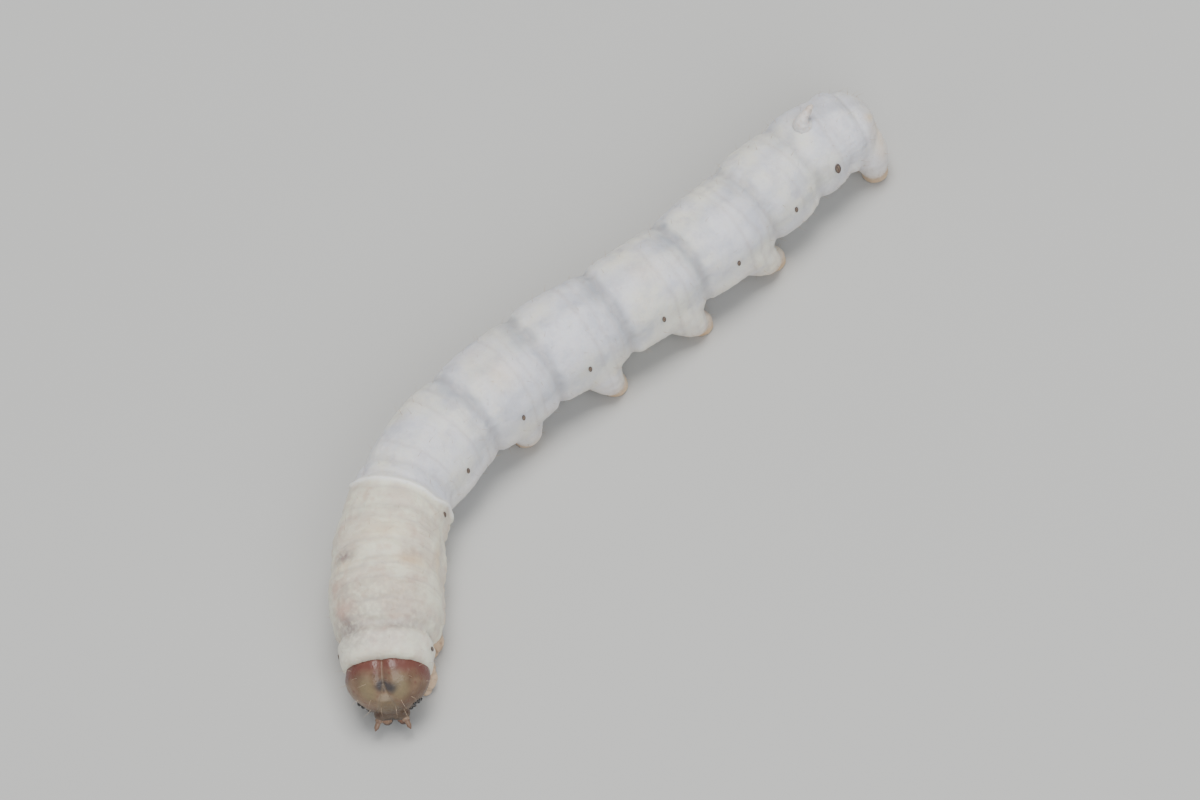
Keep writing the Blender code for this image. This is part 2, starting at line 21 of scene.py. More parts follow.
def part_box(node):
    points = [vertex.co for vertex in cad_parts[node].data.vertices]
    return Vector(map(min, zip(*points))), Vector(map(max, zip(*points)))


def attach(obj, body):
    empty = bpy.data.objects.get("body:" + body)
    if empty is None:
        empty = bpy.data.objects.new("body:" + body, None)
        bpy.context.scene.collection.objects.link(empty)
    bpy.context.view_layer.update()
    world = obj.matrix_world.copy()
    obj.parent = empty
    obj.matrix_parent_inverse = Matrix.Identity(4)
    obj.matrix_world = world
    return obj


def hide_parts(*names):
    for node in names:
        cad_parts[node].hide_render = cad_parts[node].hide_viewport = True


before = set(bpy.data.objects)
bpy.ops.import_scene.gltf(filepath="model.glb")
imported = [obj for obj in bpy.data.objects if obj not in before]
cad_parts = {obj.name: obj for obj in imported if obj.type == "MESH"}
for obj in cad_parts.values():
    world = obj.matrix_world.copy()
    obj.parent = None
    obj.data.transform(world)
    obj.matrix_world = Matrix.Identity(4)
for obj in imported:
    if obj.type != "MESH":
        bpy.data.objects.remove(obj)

ROOT = "root"
MM = 0.001
TURN = 2.0 * math.pi
FAR = 99.0
Colour = tuple[float, float, float]


class Side(Enum):
    """The two sides of the animal, with the sign of the animal's left."""

    LEFT = 1.0
    RIGHT = -1.0

    @property
    def word(self) -> str:
        """The side's name in the names of pieces and nodes."""
        return self.name.lower()

    def angle(self, degrees: float) -> float:
        """Return the angle round the body that lies so many degrees above this side."""
        angle = math.radians(degrees)
        return angle if self is Side.LEFT else math.pi - angle


@dataclass(frozen=True)
class Segment:
    """One length of the body: its size, the course of the axis and its own folds.

    The heading and the height are those of the axis at the segment's rear joint, and
    the cinch is how strongly that joint draws the skin in. Annulets are the shares of
    the length at which finer creases ring the body.
    """

    name: str
    length: float
    breadth: float
    depth: float
    heading: float
    height: float
    cinch: float
    annulets: tuple[float, ...]
    annulet_depth: float
    wrinkle: float


SEGMENTS = (
    Segment("thorax_1", 1.3, 4.9, 4.8, -37.0, 3.45, 1.5, (), 0.05, 0.020),
    Segment("thorax_2", 3.6, 5.95, 5.8, -35.0, 3.7, 0.30, (0.13, 0.30, 0.62, 0.84), 0.055, 0.050),
    Segment("thorax_3", 3.2, 5.8, 5.65, -26.0, 3.8, 0.30, (0.30, 0.72), 0.045, 0.045),
    Segment("abdomen_1", 2.8, 5.25, 5.15, -12.0, 3.75, 0.45, (0.33, 0.66), 0.040, 0.035),
    Segment("abdomen_2", 5.1, 5.2, 5.1, 8.0, 3.7, 0.80, (0.17, 0.66, 0.84), 0.024, 0.022),
    Segment("abdomen_3", 4.8, 5.3, 5.2, 17.0, 3.65, 0.85, (0.60, 0.75, 0.88), 0.022, 0.022),
    Segment("abdomen_4", 4.7, 5.3, 5.2, 19.5, 3.65, 0.90, (0.61, 0.76, 0.89), 0.022, 0.022),
    Segment("abdomen_5", 4.9, 5.05, 4.95, 14.5, 3.6, 0.90, (0.60, 0.76, 0.88), 0.022, 0.022),
    Segment("abdomen_6", 4.8, 5.05, 4.95, 8.0, 3.6, 0.80, (0.61, 0.75, 0.89), 0.024, 0.022),
    Segment("abdomen_7", 3.6, 4.9, 4.75, 11.5, 3.6, 0.55, (0.58, 0.80), 0.028, 0.025),
    Segment("abdomen_8", 2.5, 4.65, 4.5, 18.0, 3.6, 0.35, (0.78,), 0.030, 0.028),
    Segment("abdomen_9", 1.2, 4.45, 4.3, 21.5, 3.45, 0.25, (), 0.03, 0.028),
    Segment("abdomen_10", 1.5, 4.1, 3.8, 24.0, 3.25, 0.0, (), 0.03, 0.020),
)
SEGMENT_OF = {segment.name: segment for segment in SEGMENTS}
NECK_HEADING, NECK_HEIGHT = -35.5, 3.25
NECK_GIRTH, TAIL_GIRTH = (4.75, 4.65), (3.8, 3.5)
LEG_BEARERS = ("thorax_1", "thorax_2", "thorax_3")
LEG_SHARE, LEG_ROOT_DEG = 0.5, -56.0


@dataclass(frozen=True)
class Stance:
    """Where one pair of prolegs stands, and its radii from the hip to the sole."""

    segment: str
    share: float
    outward: float
    backward: float
    root_deg: float = -36.0
    radii: tuple[float, ...] = (1.45, 1.45, 1.38, 1.20, 0.98, 0.78, 0.66, 0.71, 0.69, 0.55)

    @property
    def word(self) -> str:
        """The start of the names of the pair's nodes."""
        number = self.segment.split("_")[1]
        return "anal_proleg" if number == "10" else f"proleg_{number}"


STANCES = (
    Stance("abdomen_3", 0.50, 1.25, 0.20),
    Stance("abdomen_4", 0.56, 1.85, 0.80),
    Stance("abdomen_5", 0.64, 1.70, 1.25),
    Stance("abdomen_6", 0.66, 1.55, 1.55),
    Stance("abdomen_10", 0.30, 1.15, 0.15, -30.0,
           (1.10, 1.10, 1.10, 1.05, 0.92, 0.80, 0.70, 0.75, 0.73, 0.58)),
)


@dataclass(frozen=True)
class Mark:
    """One soft oval mark of the skin, of its own colour or of painted shade: its place, its half
    lengths and its strength.

    Degrees run from the left side up over the back to the right side at 180.
    """

    segment: str
    share: float
    degrees: float
    run: float
    arc: float
    strength: float


# Dark marks of the thorax and abdomen. The first two entries and the last two are greyish-brown
# spots in the skin's own colour. The four between are painted shade: a thin grey line in the fold
# low on the collar, and broad patches that darken the collar and the upper and middle of the
# second thoracic segment.
DARK_SPOTS_AND_PAINTED_SHADE = (
    Mark("thorax_3", 0.09, 128.0, 0.34, 0.75, 0.90),
    Mark("thorax_2", 0.04, 137.0, 0.55, 1.10, 0.62),
    # Painted shade from here up to the two abdominal spots.
    Mark("thorax_1", 0.85, 68.0, 0.16, 0.80, 0.42),
    Mark("thorax_1", 0.40, 118.0, 0.60, 1.60, 0.36),
    Mark("thorax_2", 0.30, 98.0, 1.30, 2.40, 0.28),
    Mark("thorax_2", 0.42, 134.0, 1.40, 1.00, 0.26),
    Mark("abdomen_2", 0.45, 122.0, 0.35, 0.55, 0.22),
    Mark("abdomen_5", 0.45, 122.0, 0.30, 0.50, 0.18),
)
RUSTY_MARKS = (
    Mark("thorax_2", 0.28, 131.0, 0.42, 0.70, 0.95),
    Mark("thorax_2", 0.58, 138.0, 0.60, 0.75, 0.50),
    Mark("thorax_2", 0.94, 57.0, 0.30, 0.70, 0.30),
    Mark("thorax_3", 0.55, 66.0, 0.35, 0.60, 0.25),
)
WARM_MARKS = (
    Mark("thorax_2", 0.94, 55.0, 0.48, 1.00, 0.95),
    Mark("thorax_3", 0.45, 80.0, 0.70, 0.90, 0.45),
    Mark("thorax_2", 0.40, 75.0, 1.10, 0.90, 0.30),
    Mark("thorax_3", 0.20, 12.0, 1.50, 0.45, 0.80),
    Mark("abdomen_3", 0.45, 70.0, 0.90, 0.90, 0.45),
    Mark("abdomen_5", 0.50, 75.0, 0.80, 0.90, 0.25),
    Mark("abdomen_10", 0.60, 55.0, 0.40, 0.60, 0.80),
)


def hermite(knots: np.ndarray, values: np.ndarray, places: np.ndarray) -> np.ndarray:
    """Read a smooth curve through values set at knots.

    Args:
        knots: Rising places of the values.
        values: One number, or one row of numbers, for each knot.
        places: Where to read the curve; past the ends it keeps its last value.

    Returns:
        A value, or a row of values, for each place.
    """
    knots = np.asarray(knots, float)
    values = np.asarray(values, float)
    last = len(knots) - 1
    low = np.maximum(np.arange(last + 1) - 1, 0)
    high = np.minimum(np.arange(last + 1) + 1, last)
    span = (knots[high] - knots[low]).reshape((-1,) + (1,) * (values.ndim - 1))
    slopes = (values[high] - values[low]) / span
    places = np.clip(np.asarray(places, float), knots[0], knots[last])
    index = np.clip(np.searchsorted(knots, places, side="right") - 1, 0, last - 1)
    width = knots[index + 1] - knots[index]
    part = (places - knots[index]) / width
    if values.ndim > 1:
        width, part = width[:, None], part[:, None]
    return (
        (2 * part**3 - 3 * part**2 + 1) * values[index]
        + (part**3 - 2 * part**2 + part) * width * slopes[index]
        + (3 * part**2 - 2 * part**3) * values[index + 1]
        + (part**3 - part**2) * width * slopes[index + 1]
    )


def along_guides(guides: list[np.ndarray], count: int) -> np.ndarray:
    """Spread points evenly by share along a smooth curve through guide points."""
    knots = np.arange(len(guides), dtype=float)
    return hermite(knots, np.array(guides), np.linspace(0.0, knots[-1], count))


def bump(offset: np.ndarray, reach: float) -> np.ndarray:
    """Return a soft hump that is 1 at no offset and fades over reach."""
    return np.exp(-((offset / reach) ** 2))


def furrow(offset: np.ndarray, reach: float) -> np.ndarray:
    """Return a narrow valley's share of its depth, keen at the bottom, soft at the rims."""
    return np.exp(-(np.sqrt((offset / reach) ** 2 + 0.06) - 0.245))


def ramp(value: np.ndarray, low: float, high: float) -> np.ndarray:
    """Return a smooth step that is 0 at low and 1 at high, which may be the smaller."""
    part = np.clip((value - low) / (high - low), 0.0, 1.0)
    return part * part * (3.0 - 2.0 * part)


def unit(rows: np.ndarray) -> np.ndarray:
    """Scale each row to length 1."""
    return rows / np.maximum(np.linalg.norm(rows, axis=-1, keepdims=True), 1e-12)


def side_degrees(angles: np.ndarray) -> np.ndarray:
    """Return how many degrees above the nearer side angles round the body lie."""
    return np.degrees(np.arctan2(np.sin(angles), np.abs(np.cos(angles))))


def oval(first: np.ndarray, second: np.ndarray) -> np.ndarray:
    """Return a soft oval hump from two offsets, each in units of its own reach."""
    return np.exp(-(first**2 + second**2))


class Grain:
    """Smooth seeded noise in space, of about -1 to 1."""

    def __init__(self, seed: int) -> None:
        draw = np.random.default_rng(seed)
        self.order = draw.permutation(256)
        self.slopes = unit(draw.normal(size=(256, 3)))

    def __call__(self, places: np.ndarray) -> np.ndarray:
        """Read the noise at rows of three coordinates."""
        base = np.floor(places).astype(int)
        part = places - base
        fade = part**3 * (part * (part * 6 - 15) + 10)
        total = np.zeros(len(places))
        for corner in itertools.product((0, 1), repeat=3):
            cell = (base + corner) & 255
            key = self.order[(self.order[cell[:, 0]] + cell[:, 1]) & 255]
            key = self.order[(key + cell[:, 2]) & 255]
            rise = np.einsum("ij,ij->i", self.slopes[key], part - corner)
            total += rise * np.prod(np.where(np.array(corner) == 1, fade, 1 - fade), axis=1)
        return total * 1.6

    def ridges(self, places: np.ndarray) -> np.ndarray:
        """Return thin winding valleys: 1 along their beds and 0 on the pads between."""
        return (1.0 - np.clip(np.abs(self(places)) * 2.4, 0.0, 1.0)) ** 2

    def clouds(self, places: np.ndarray, octaves: int) -> np.ndarray:
        """Add octaves of finer and weaker noise."""
        return sum(self(places * 2.0**n + 7.3 * n) * 0.5**n for n in range(octaves))


class Clay:
    """A closed mesh in millimetres whose points are moved as arrays."""

    def __init__(self, mesh: bpy.types.Mesh) -> None:
        self.mesh = mesh
        count = len(mesh.vertices)
        self.points = np.empty(count * 3)
        mesh.vertices.foreach_get("co", self.points)
        self.points = self.points.reshape(-1, 3)
        edges = np.empty(len(mesh.edges) * 2, dtype=np.int32)
        mesh.edges.foreach_get("vertices", edges)
        self.edges = edges.reshape(-1, 2)
        self.degree = np.bincount(edges, minlength=count).astype(float)

    def neighbour_mean(self, values: np.ndarray) -> np.ndarray:
        """Return, for each point, the mean of a value over the points joined to it."""
        near, far = self.edges.T
        total = np.zeros_like(values)
        columns = values.reshape(len(values), -1)
        out = total.reshape(len(values), -1)
        for column in range(columns.shape[1]):
            out[:, column] = np.bincount(
                near, columns[far, column], len(values)
            ) + np.bincount(far, columns[near, column], len(values))
        return (out / self.degree[:, None]).reshape(values.shape)

    def relax(self, times: int, share: np.ndarray | float) -> None:
        """Move the points towards the mean of their neighbours.

        Args:
            times: How many rounds to run.
            share: How far each point goes in a round, from 0 to 1.
        """
        share = np.broadcast_to(share, len(self.points))[:, None]
        for _ in range(times):
            self.points += (self.neighbour_mean(self.points) - self.points) * share

    def normals(self) -> np.ndarray:
        """Return the outward normal at each point."""
        self.mesh.vertices.foreach_set("co", self.points.ravel())
        self.mesh.update()
        rows = np.empty(len(self.points) * 3)
        self.mesh.vertex_normals.foreach_get("vector", rows)
        return rows.reshape(-1, 3)

    def mark(self, name: str, values: np.ndarray) -> None:
        """Store a number, or a row of three, for each point under a name."""
        kind, key = ("FLOAT_VECTOR", "vector") if values.ndim == 2 else ("FLOAT", "value")
        layer = self.mesh.attributes.new(name, kind, "POINT")
        layer.data.foreach_set(key, np.ascontiguousarray(values, dtype=np.float32).ravel())

    def settle(self) -> bpy.types.Mesh:
        """Write the points into the mesh and return it."""
        self.mesh.vertices.foreach_set("co", self.points.ravel())
        self.mesh.update()
        return self.mesh


def add_object(name: str, data: bpy.types.ID) -> bpy.types.Object:
    """Put new data into the scene as an object."""
    obj = bpy.data.objects.new(name, data)
    bpy.context.scene.collection.objects.link(obj)
    return obj


def evaluated(obj: bpy.types.Object) -> bpy.types.Mesh:
    """Return an object's mesh as its modifiers make it, and remove the object."""
    graph = bpy.context.evaluated_depsgraph_get()
    mesh = bpy.data.meshes.new_from_object(obj.evaluated_get(graph))
    source = obj.data
    obj.modifiers.clear()
    bpy.data.objects.remove(obj)
    bpy.data.meshes.remove(source)
    return mesh


def joined(meshes: Iterable[bpy.types.Mesh], name: str) -> bpy.types.Mesh:
    """Gather meshes, which are used up, into one."""
    shape = bmesh.new()
    for mesh in meshes:
        shape.from_mesh(mesh)
        bpy.data.meshes.remove(mesh)
    result = bpy.data.meshes.new(name)
    shape.to_mesh(result)
    shape.free()
    return result


def mesh_of(points: np.ndarray, faces: list) -> bpy.types.Mesh:
    """Make a mesh from points and faces, with its faces turned outwards."""
    mesh = bpy.data.meshes.new("shape")
    mesh.from_pydata(np.asarray(points).tolist(), [], faces)
    shape = bmesh.new()
    shape.from_mesh(mesh)
    bmesh.ops.recalc_face_normals(shape, faces=shape.faces)
    shape.to_mesh(mesh)
    shape.free()
    return mesh


def loft(rings: np.ndarray) -> bpy.types.Mesh:
    """Join rings of like count into one closed skin, its ends closed by fans.

    Args:
        rings: Points as rings by sides by three.

    Returns:
        The closed mesh.
    """
    count, sides, _ = rings.shape
    points = np.concatenate(
        [rings.reshape(-1, 3), rings[:1].mean(axis=1), rings[-1:].mean(axis=1)]
    )
    faces = []
    for ring, side in itertools.product(range(count - 1), range(sides)):
        here, follow = ring * sides + side, ring * sides + (side + 1) % sides
        faces.append((here, follow, follow + sides, here + sides))
    start, end, last = count * sides, count * sides + 1, (count - 1) * sides
    for side in range(sides):
        follow = (side + 1) % sides
        faces.append((start, follow, side))
        faces.append((end, last + side, last + follow))
    return mesh_of(points, faces)


def tube(path: np.ndarray, radii: np.ndarray, sides: int) -> bpy.types.Mesh:
    """Sweep a round section along a path.

    Args:
        path: Points of the middle line.
        radii: The radius at each of them.
        sides: Points round the section.

    Returns:
        The closed tube, its points ring by ring and last the middles of its two ends.
    """
    ahead = unit(np.gradient(path, axis=0))
    across = np.cross(ahead[0], (0.31, 0.87, 0.38))
    rings = []
    turns = np.linspace(0.0, TURN, sides, endpoint=False)[:, None]
    for point, radius, run in zip(path, radii, ahead):
        across = unit(across - run * np.dot(across, run))
        third = np.cross(run, across)
        ring = (across * np.cos(turns) + third * np.sin(turns)) * radius
        rings.append(point + ring)
    return loft(np.array(rings))


def shares_along(places: np.ndarray, sides: int) -> np.ndarray:
    """Return the share of its length at which each point of a tube lies."""
    return np.concatenate([np.repeat(places, sides), [0.0, 1.0]])


def ball(centre: np.ndarray, axes: np.ndarray, subdivisions: int) -> bpy.types.Mesh:
    """Make a closed ellipsoid from its centre and its three half axes, as rows."""
    shape = bmesh.new()
    bmesh.ops.create_icosphere(shape, subdivisions=subdivisions, radius=1.0)
    mesh = bpy.data.meshes.new("ball")
    shape.to_mesh(mesh)
    shape.free()
    clay = Clay(mesh)
    clay.points = centre + clay.points @ np.asarray(axes)
    return clay.settle()


def fuse(meshes: list[bpy.types.Mesh], voxel: float) -> Clay:
    """Melt overlapping closed meshes into one even skin.

    Args:
        meshes: Closed meshes in millimetres, which are used up.
        voxel: The size of the new faces.

    Returns:
        The one closed mesh.
    """
    obj = add_object("merged", joined(meshes, "merged"))
    remesh = obj.modifiers.new("Melt", "REMESH")
    remesh.mode = "VOXEL"
    remesh.voxel_size = voxel
    return Clay(evaluated(obj))


class Spine:
    """The course of the body's axis from the neck back, read at many stations at once."""

    STEP = 0.05
    OVAL_POWER = 2.2
    BELLY_FLATNESS = 0.92
    TAIL_ROUNDING = 1.7
    COLLAR_REACH = 0.42
    PINCH = 0.12
    BATCH = 20000

    def __init__(self) -> None:
        self.joints = np.concatenate([[0.0], np.cumsum([s.length for s in SEGMENTS])])
        self.end = float(self.joints[-1])
        self.starts = {s.name: float(j) for s, j in zip(SEGMENTS, self.joints)}
        self.cinches = list(zip(self.joints[1:-1], (s.cinch for s in SEGMENTS)))
        middles = (self.joints[1:] + self.joints[:-1]) / 2
        self.girth_knots = np.concatenate([[0.0], middles, [self.end]])
        self.breadths = [NECK_GIRTH[0], *(s.breadth for s in SEGMENTS), TAIL_GIRTH[0]]
        self.depths = [NECK_GIRTH[1], *(s.depth for s in SEGMENTS), TAIL_GIRTH[1]]
        self.walk()
        self.shift = np.zeros(3)
        self.shift = self.find_shift()

    def walk(self) -> None:
        """Step along the axis and keep its points and turns."""
        stations = np.arange(int(self.end / self.STEP) + 1) * self.STEP
        headings = [NECK_HEADING, *(s.heading for s in SEGMENTS)]
        heights = [NECK_HEIGHT, *(s.height for s in SEGMENTS)]
        self.turns = np.radians(hermite(self.joints, headings, stations))
        height = hermite(self.joints, heights, stations)
        ahead = hermite(self.joints, heights, stations + self.STEP)
        self.climbs = np.arcsin((ahead - height) / self.STEP)
        run = self.STEP * np.cos(self.climbs)
        level = np.column_stack([np.sin(self.turns) * run, np.cos(self.turns) * run])
        level = np.concatenate([np.zeros((1, 2)), np.cumsum(level, axis=0)[:-1]])
        self.places = np.column_stack([level, height])

    def find_shift(self) -> np.ndarray:
        """Return the move from the neck to the model's frame, from the CAD solids' boxes."""
        moves = []
        for segment in SEGMENTS[1:8]:
            stations = np.linspace(0.15, segment.length - 0.15, 12) + self.starts[segment.name]
            angles = np.linspace(0.0, TURN, 56, endpoint=False)
            grid = np.array(np.meshgrid(stations, angles)).reshape(2, -1)
            points = self.skin(grid[0], grid[1])
            low, high = (np.array(corner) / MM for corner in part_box(segment.name))
            moves.append((low + high) / 2 - (points.min(axis=0) + points.max(axis=0)) / 2)
        move = np.mean(moves, axis=0)
        return np.array([move[0], move[1], 0.0])

    def frame(self, stations: np.ndarray) -> tuple[np.ndarray, ...]:
        """Return axis points, and the left, up and rearward directions at them."""
        stations = np.atleast_1d(np.asarray(stations, float))
        share = np.clip(stations / self.STEP, 0.0, len(self.places) - 1.001)
        low = share.astype(int)
        part = share - low
        turn = self.turns[low] * (1 - part) + self.turns[low + 1] * part
        climb = self.climbs[low] * (1 - part) + self.climbs[low + 1] * part
        place = (
            self.places[low] * (1 - part[:, None])
            + self.places[low + 1] * part[:, None]
        )
        along = np.column_stack(
            [np.sin(turn) * np.cos(climb), np.cos(turn) * np.cos(climb), np.sin(climb)]
        )
        left = np.column_stack([np.cos(turn), -np.sin(turn), np.zeros(len(turn))])
        place = place + along * (stations - share * self.STEP)[:, None]
        return place + self.shift, left, np.cross(left, along), along

    def rounding(self, stations: np.ndarray) -> np.ndarray:
        """Return how far the section has drawn in towards the tail and in the collar."""
        past = np.maximum(stations - (self.end - self.TAIL_ROUNDING), 0.0)
        tail = np.sqrt(np.maximum(1.0 - (past / (self.TAIL_ROUNDING * 1.04)) ** 2, 0.0))
        lip = np.clip(-stations / self.COLLAR_REACH, 0.0, 1.0)
        return tail * (0.80 + 0.20 * np.sqrt(1.0 - lip**2))

    def halves(self, stations: np.ndarray) -> tuple[np.ndarray, np.ndarray]:
        """Return half the breadth and half the depth of the plain section."""
        rounding = self.rounding(stations)
        pinch = sum(cinch * bump(stations - joint, 0.42) for joint, cinch in self.cinches)
        near = self.share_of(stations)
        barrel = 0.05 * np.sin(math.pi * np.clip(near, 0, 1)) - self.PINCH * pinch
        broad = hermite(self.girth_knots, self.breadths, stations) / 2 + barrel
        deep = hermite(self.girth_knots, self.depths, stations) / 2 + barrel
        return broad * rounding, deep * rounding

    def station(self, segment: str, share: float) -> float:
        """Return the station that lies a share of the way along a segment."""
        return self.starts[segment] + SEGMENT_OF[segment].length * share

    def root(self, segment: str, share: float, angle: float) -> tuple[np.ndarray, ...]:
        """Return the axis, left, up and rearward rows at a share, and the skin's point there."""
        station = np.array([self.station(segment, share)])
        rows = (row[0] for row in self.frame(station))
        return *rows, self.skin(station, np.array([angle]))[0]

    def index_of(self, stations: np.ndarray) -> np.ndarray:
        """Return the number of the segment that each station lies in."""
        index = np.searchsorted(self.joints, stations, side="right") - 1
        return np.clip(index, 0, len(SEGMENTS) - 1)

    def share_of(self, stations: np.ndarray) -> np.ndarray:
        """Return how far along its own segment each station lies, from 0 to 1."""
        index = self.index_of(stations)
        return (stations - self.joints[index]) / (self.joints[index + 1] - self.joints[index])

    def side_swell(self, degrees: np.ndarray, stations: np.ndarray) -> np.ndarray:
        """Return the rise of the fold low on each side, scalloped by the segments."""
        share = self.share_of(stations)
        lobes = 0.30 + 0.85 * np.sin(math.pi * np.clip(share, 0.0, 1.0)) ** 0.7
        fades = ramp(stations, 0.0, 2.0) * ramp(stations, self.end, self.end - 2.5)
        swell = 0.17 * bump(degrees + 28.0, 15.0) * lobes
        return (swell - 0.09 * bump(degrees + 4.0, 12.0)) * fades

    def skin(self, stations: np.ndarray, angles: np.ndarray) -> np.ndarray:
        """Return skin points at stations and angles from the left side up over the back."""
        place, left, up, _ = self.frame(stations)
        broad, deep = self.halves(stations)
        swell = self.side_swell(side_degrees(angles), stations)
        power = 2.0 / self.OVAL_POWER
        across = np.sign(np.cos(angles)) * np.abs(np.cos(angles)) ** power
        upward = np.sign(np.sin(angles)) * np.abs(np.sin(angles)) ** power
        upward = np.where(upward < 0.0, upward * self.BELLY_FLATNESS, upward)
        return (
            place
            + left * ((broad + swell) * across)[:, None]
            + up * ((deep + swell) * upward)[:, None]
        )

    def locate(self, points: np.ndarray) -> tuple[np.ndarray, ...]:
        """Find where points lie about the axis.

        Args:
            points: Points in the model's frame.

        Returns:
            Their stations, their angles round the body and their lift above the plain
            skin.
        """
        samples = np.arange(0.0, self.end + 0.1, 0.25)
        places = self.frame(samples)[0]
        nearest = np.empty(len(points), dtype=int)
        for start in range(0, len(points), self.BATCH):
            part = points[start:start + self.BATCH]
            gaps = (part**2).sum(1)[:, None] - 2 * part @ places.T + (places**2).sum(1)
            nearest[start:start + self.BATCH] = gaps.argmin(axis=1)
        stations = samples[nearest]
        for _ in range(4):
            place, _, _, along = self.frame(stations)
            stations = stations + np.einsum("ij,ij->i", points - place, along) * 0.8
            stations = np.clip(stations, -1.0, self.end + 1.0)
        place, left, up, _ = self.frame(stations)
        across = np.einsum("ij,ij->i", points - place, left)
        upward = np.einsum("ij,ij->i", points - place, up)
        broad, deep = (np.maximum(half, 0.3) for half in self.halves(stations))
        deep = np.where(upward < 0.0, deep * self.BELLY_FLATNESS, deep)
        half = self.OVAL_POWER / 2.0
        tall = np.sign(upward) * np.abs(upward / deep) ** half
        wide = np.sign(across) * np.abs(across / broad) ** half
        angles = np.arctan2(tall, wide)
        degrees = np.degrees(np.arctan2(tall, np.abs(wide)))
        girth = np.hypot(across, upward)
        swell = self.side_swell(degrees, stations)
        plain = girth / np.maximum((tall**2 + wide**2) ** (0.5 / half), 1e-6) + swell
        return stations, angles, girth - plain


@dataclass(frozen=True)
class Limb:
    """The middle line and the radii of one leg, from inside the body to the floor."""

    name: str
    path: np.ndarray
    radii: np.ndarray

    def nearness(self, points: np.ndarray) -> np.ndarray:
        """Return how far each point lies outside the limb's own surface."""
        best = np.full(len(points), FAR)
        for place, radius in zip(self.path, self.radii):
            best = np.minimum(best, np.linalg.norm(points - place, axis=1) - radius)
        return best


class Graph:
    """Nodes added to one tree, for a surface finish or for shapes."""

    def __init__(self, tree: bpy.types.NodeTree) -> None:
        self.tree = tree

    def node(self, kind: str, settings: dict | None = None,
             sockets: dict | None = None) -> bpy.types.Node:
        """Add one node.

        Args:
            kind: The node's type.
            settings: Properties of the node, set first.
            sockets: Values or links of its sockets, by name or number.

        Returns:
            The new node.
        """
        node = self.tree.nodes.new(kind)
        for key, value in (settings or {}).items():
            setattr(node, key, value)
        for key, value in (sockets or {}).items():
            value = value.socket if isinstance(value, Value) else value
            if isinstance(value, bpy.types.NodeSocket):
                self.tree.links.new(value, node.inputs[key])
            else:
                node.inputs[key].default_value = value
        return node

    def made(self, kind: str, sockets: dict) -> bpy.types.NodeSocket:
        """Add one node that needs no settings, and return its first output."""
        return self.node(kind, None, sockets).outputs[0]

    def attribute(self, name: str) -> "Value":
        """Read a number that is stored on the points of the mesh."""
        node = self.node("ShaderNodeAttribute", {"attribute_name": name})
        return Value(self, node.outputs["Fac"])

    def place(self, name: str | None = None) -> bpy.types.NodeSocket:
        """Return Object coordinates, or a stored place in their stead."""
        if name is None:
            return self.node("ShaderNodeTexCoord").outputs["Object"]
        return self.node("ShaderNodeAttribute", {"attribute_name": name}).outputs["Vector"]

    def noise(self, place: bpy.types.NodeSocket, scale: float, detail: float = 3.0,
              stretch: Colour = (1.0, 1.0, 1.0)) -> "Value":
        """Return soft noise of about 0 to 1.

        Args:
            place: The coordinates that it is read at.
            scale: How many lumps there are to one unit.
            detail: The number of finer octaves.
            stretch: Factors on the three coordinates.
        """
        mapped = self.made("ShaderNodeMapping", {"Vector": place, "Scale": stretch})
        node = self.node(
            "ShaderNodeTexNoise", None,
            {"Vector": mapped, "Scale": scale, "Detail": detail, "Roughness": 0.55},
        )
        return Value(self, node.outputs["Fac"])

    def cells(self, place: bpy.types.NodeSocket, scale: float) -> "Value":
        """Return the distance to the middle of the nearest cell."""
        node = self.node("ShaderNodeTexVoronoi", None, {"Vector": place, "Scale": scale})
        return Value(self, node.outputs["Distance"])

    def mix(self, factor: "Value", first: object, second: object) -> bpy.types.NodeSocket:
        """Blend two colours, each a tuple or a link."""
        first, second = (
            (*item, 1.0) if isinstance(item, tuple) else item for item in (first, second)
        )
        node = self.node("ShaderNodeMix", {"data_type": "RGBA"}, {0: factor, 6: first, 7: second})
        return node.outputs[2]

    def layered(self, colour: bpy.types.NodeSocket,
                layers: "Iterable[tuple[Value, Colour]]") -> bpy.types.NodeSocket:
        """Lay colours over one another, each where its own share is high."""
        for share, tint in layers:
            colour = self.mix(share.clamp(), colour, tint)
        return colour

    def relief(self, height: "Value", distance: float, strength: float) -> bpy.types.NodeSocket:
        """Return a normal that is tipped by a height, which is in units of distance."""
        sockets = {"Height": height, "Distance": distance, "Strength": strength}
        return self.made("ShaderNodeBump", sockets)


class Value:
    """A number in a graph that takes part in Python arithmetic."""

    def __init__(self, graph: Graph, socket: bpy.types.NodeSocket) -> None:
        self.graph = graph
        self.socket = socket

    def math(self, operation: str, *others: "Value | float") -> "Value":
        """Add one Math node to this number."""
        sockets = dict(enumerate((self, *others)))
        node = self.graph.node("ShaderNodeMath", {"operation": operation}, sockets)
        return Value(self.graph, node.outputs[0])

    def __add__(self, other: "Value | float") -> "Value":
        """Add."""
        return self.math("ADD", other)

    def __rsub__(self, other: float) -> "Value":
        """Take this from a plain number."""
        return self.math("MULTIPLY_ADD", -1.0, other)

    def __mul__(self, other: "Value | float") -> "Value":
        """Multiply."""
        return self.math("MULTIPLY", other)

    def clamp(self) -> "Value":
        """Keep within 0 and 1."""
        return self.math("MAXIMUM", 0.0).math("MINIMUM", 1.0)

    def step(self, low: float, high: float) -> "Value":
        """Return a smooth step that is 0 at low and 1 at high, which may be the smaller."""
        sign = 1.0 if high > low else -1.0
        node = self.graph.node(
            "ShaderNodeMapRange",
            {"interpolation_type": "SMOOTHSTEP"},
            {"Value": self * sign, "From Min": low * sign, "From Max": high * sign},
        )
        return Value(self.graph, node.outputs[0])


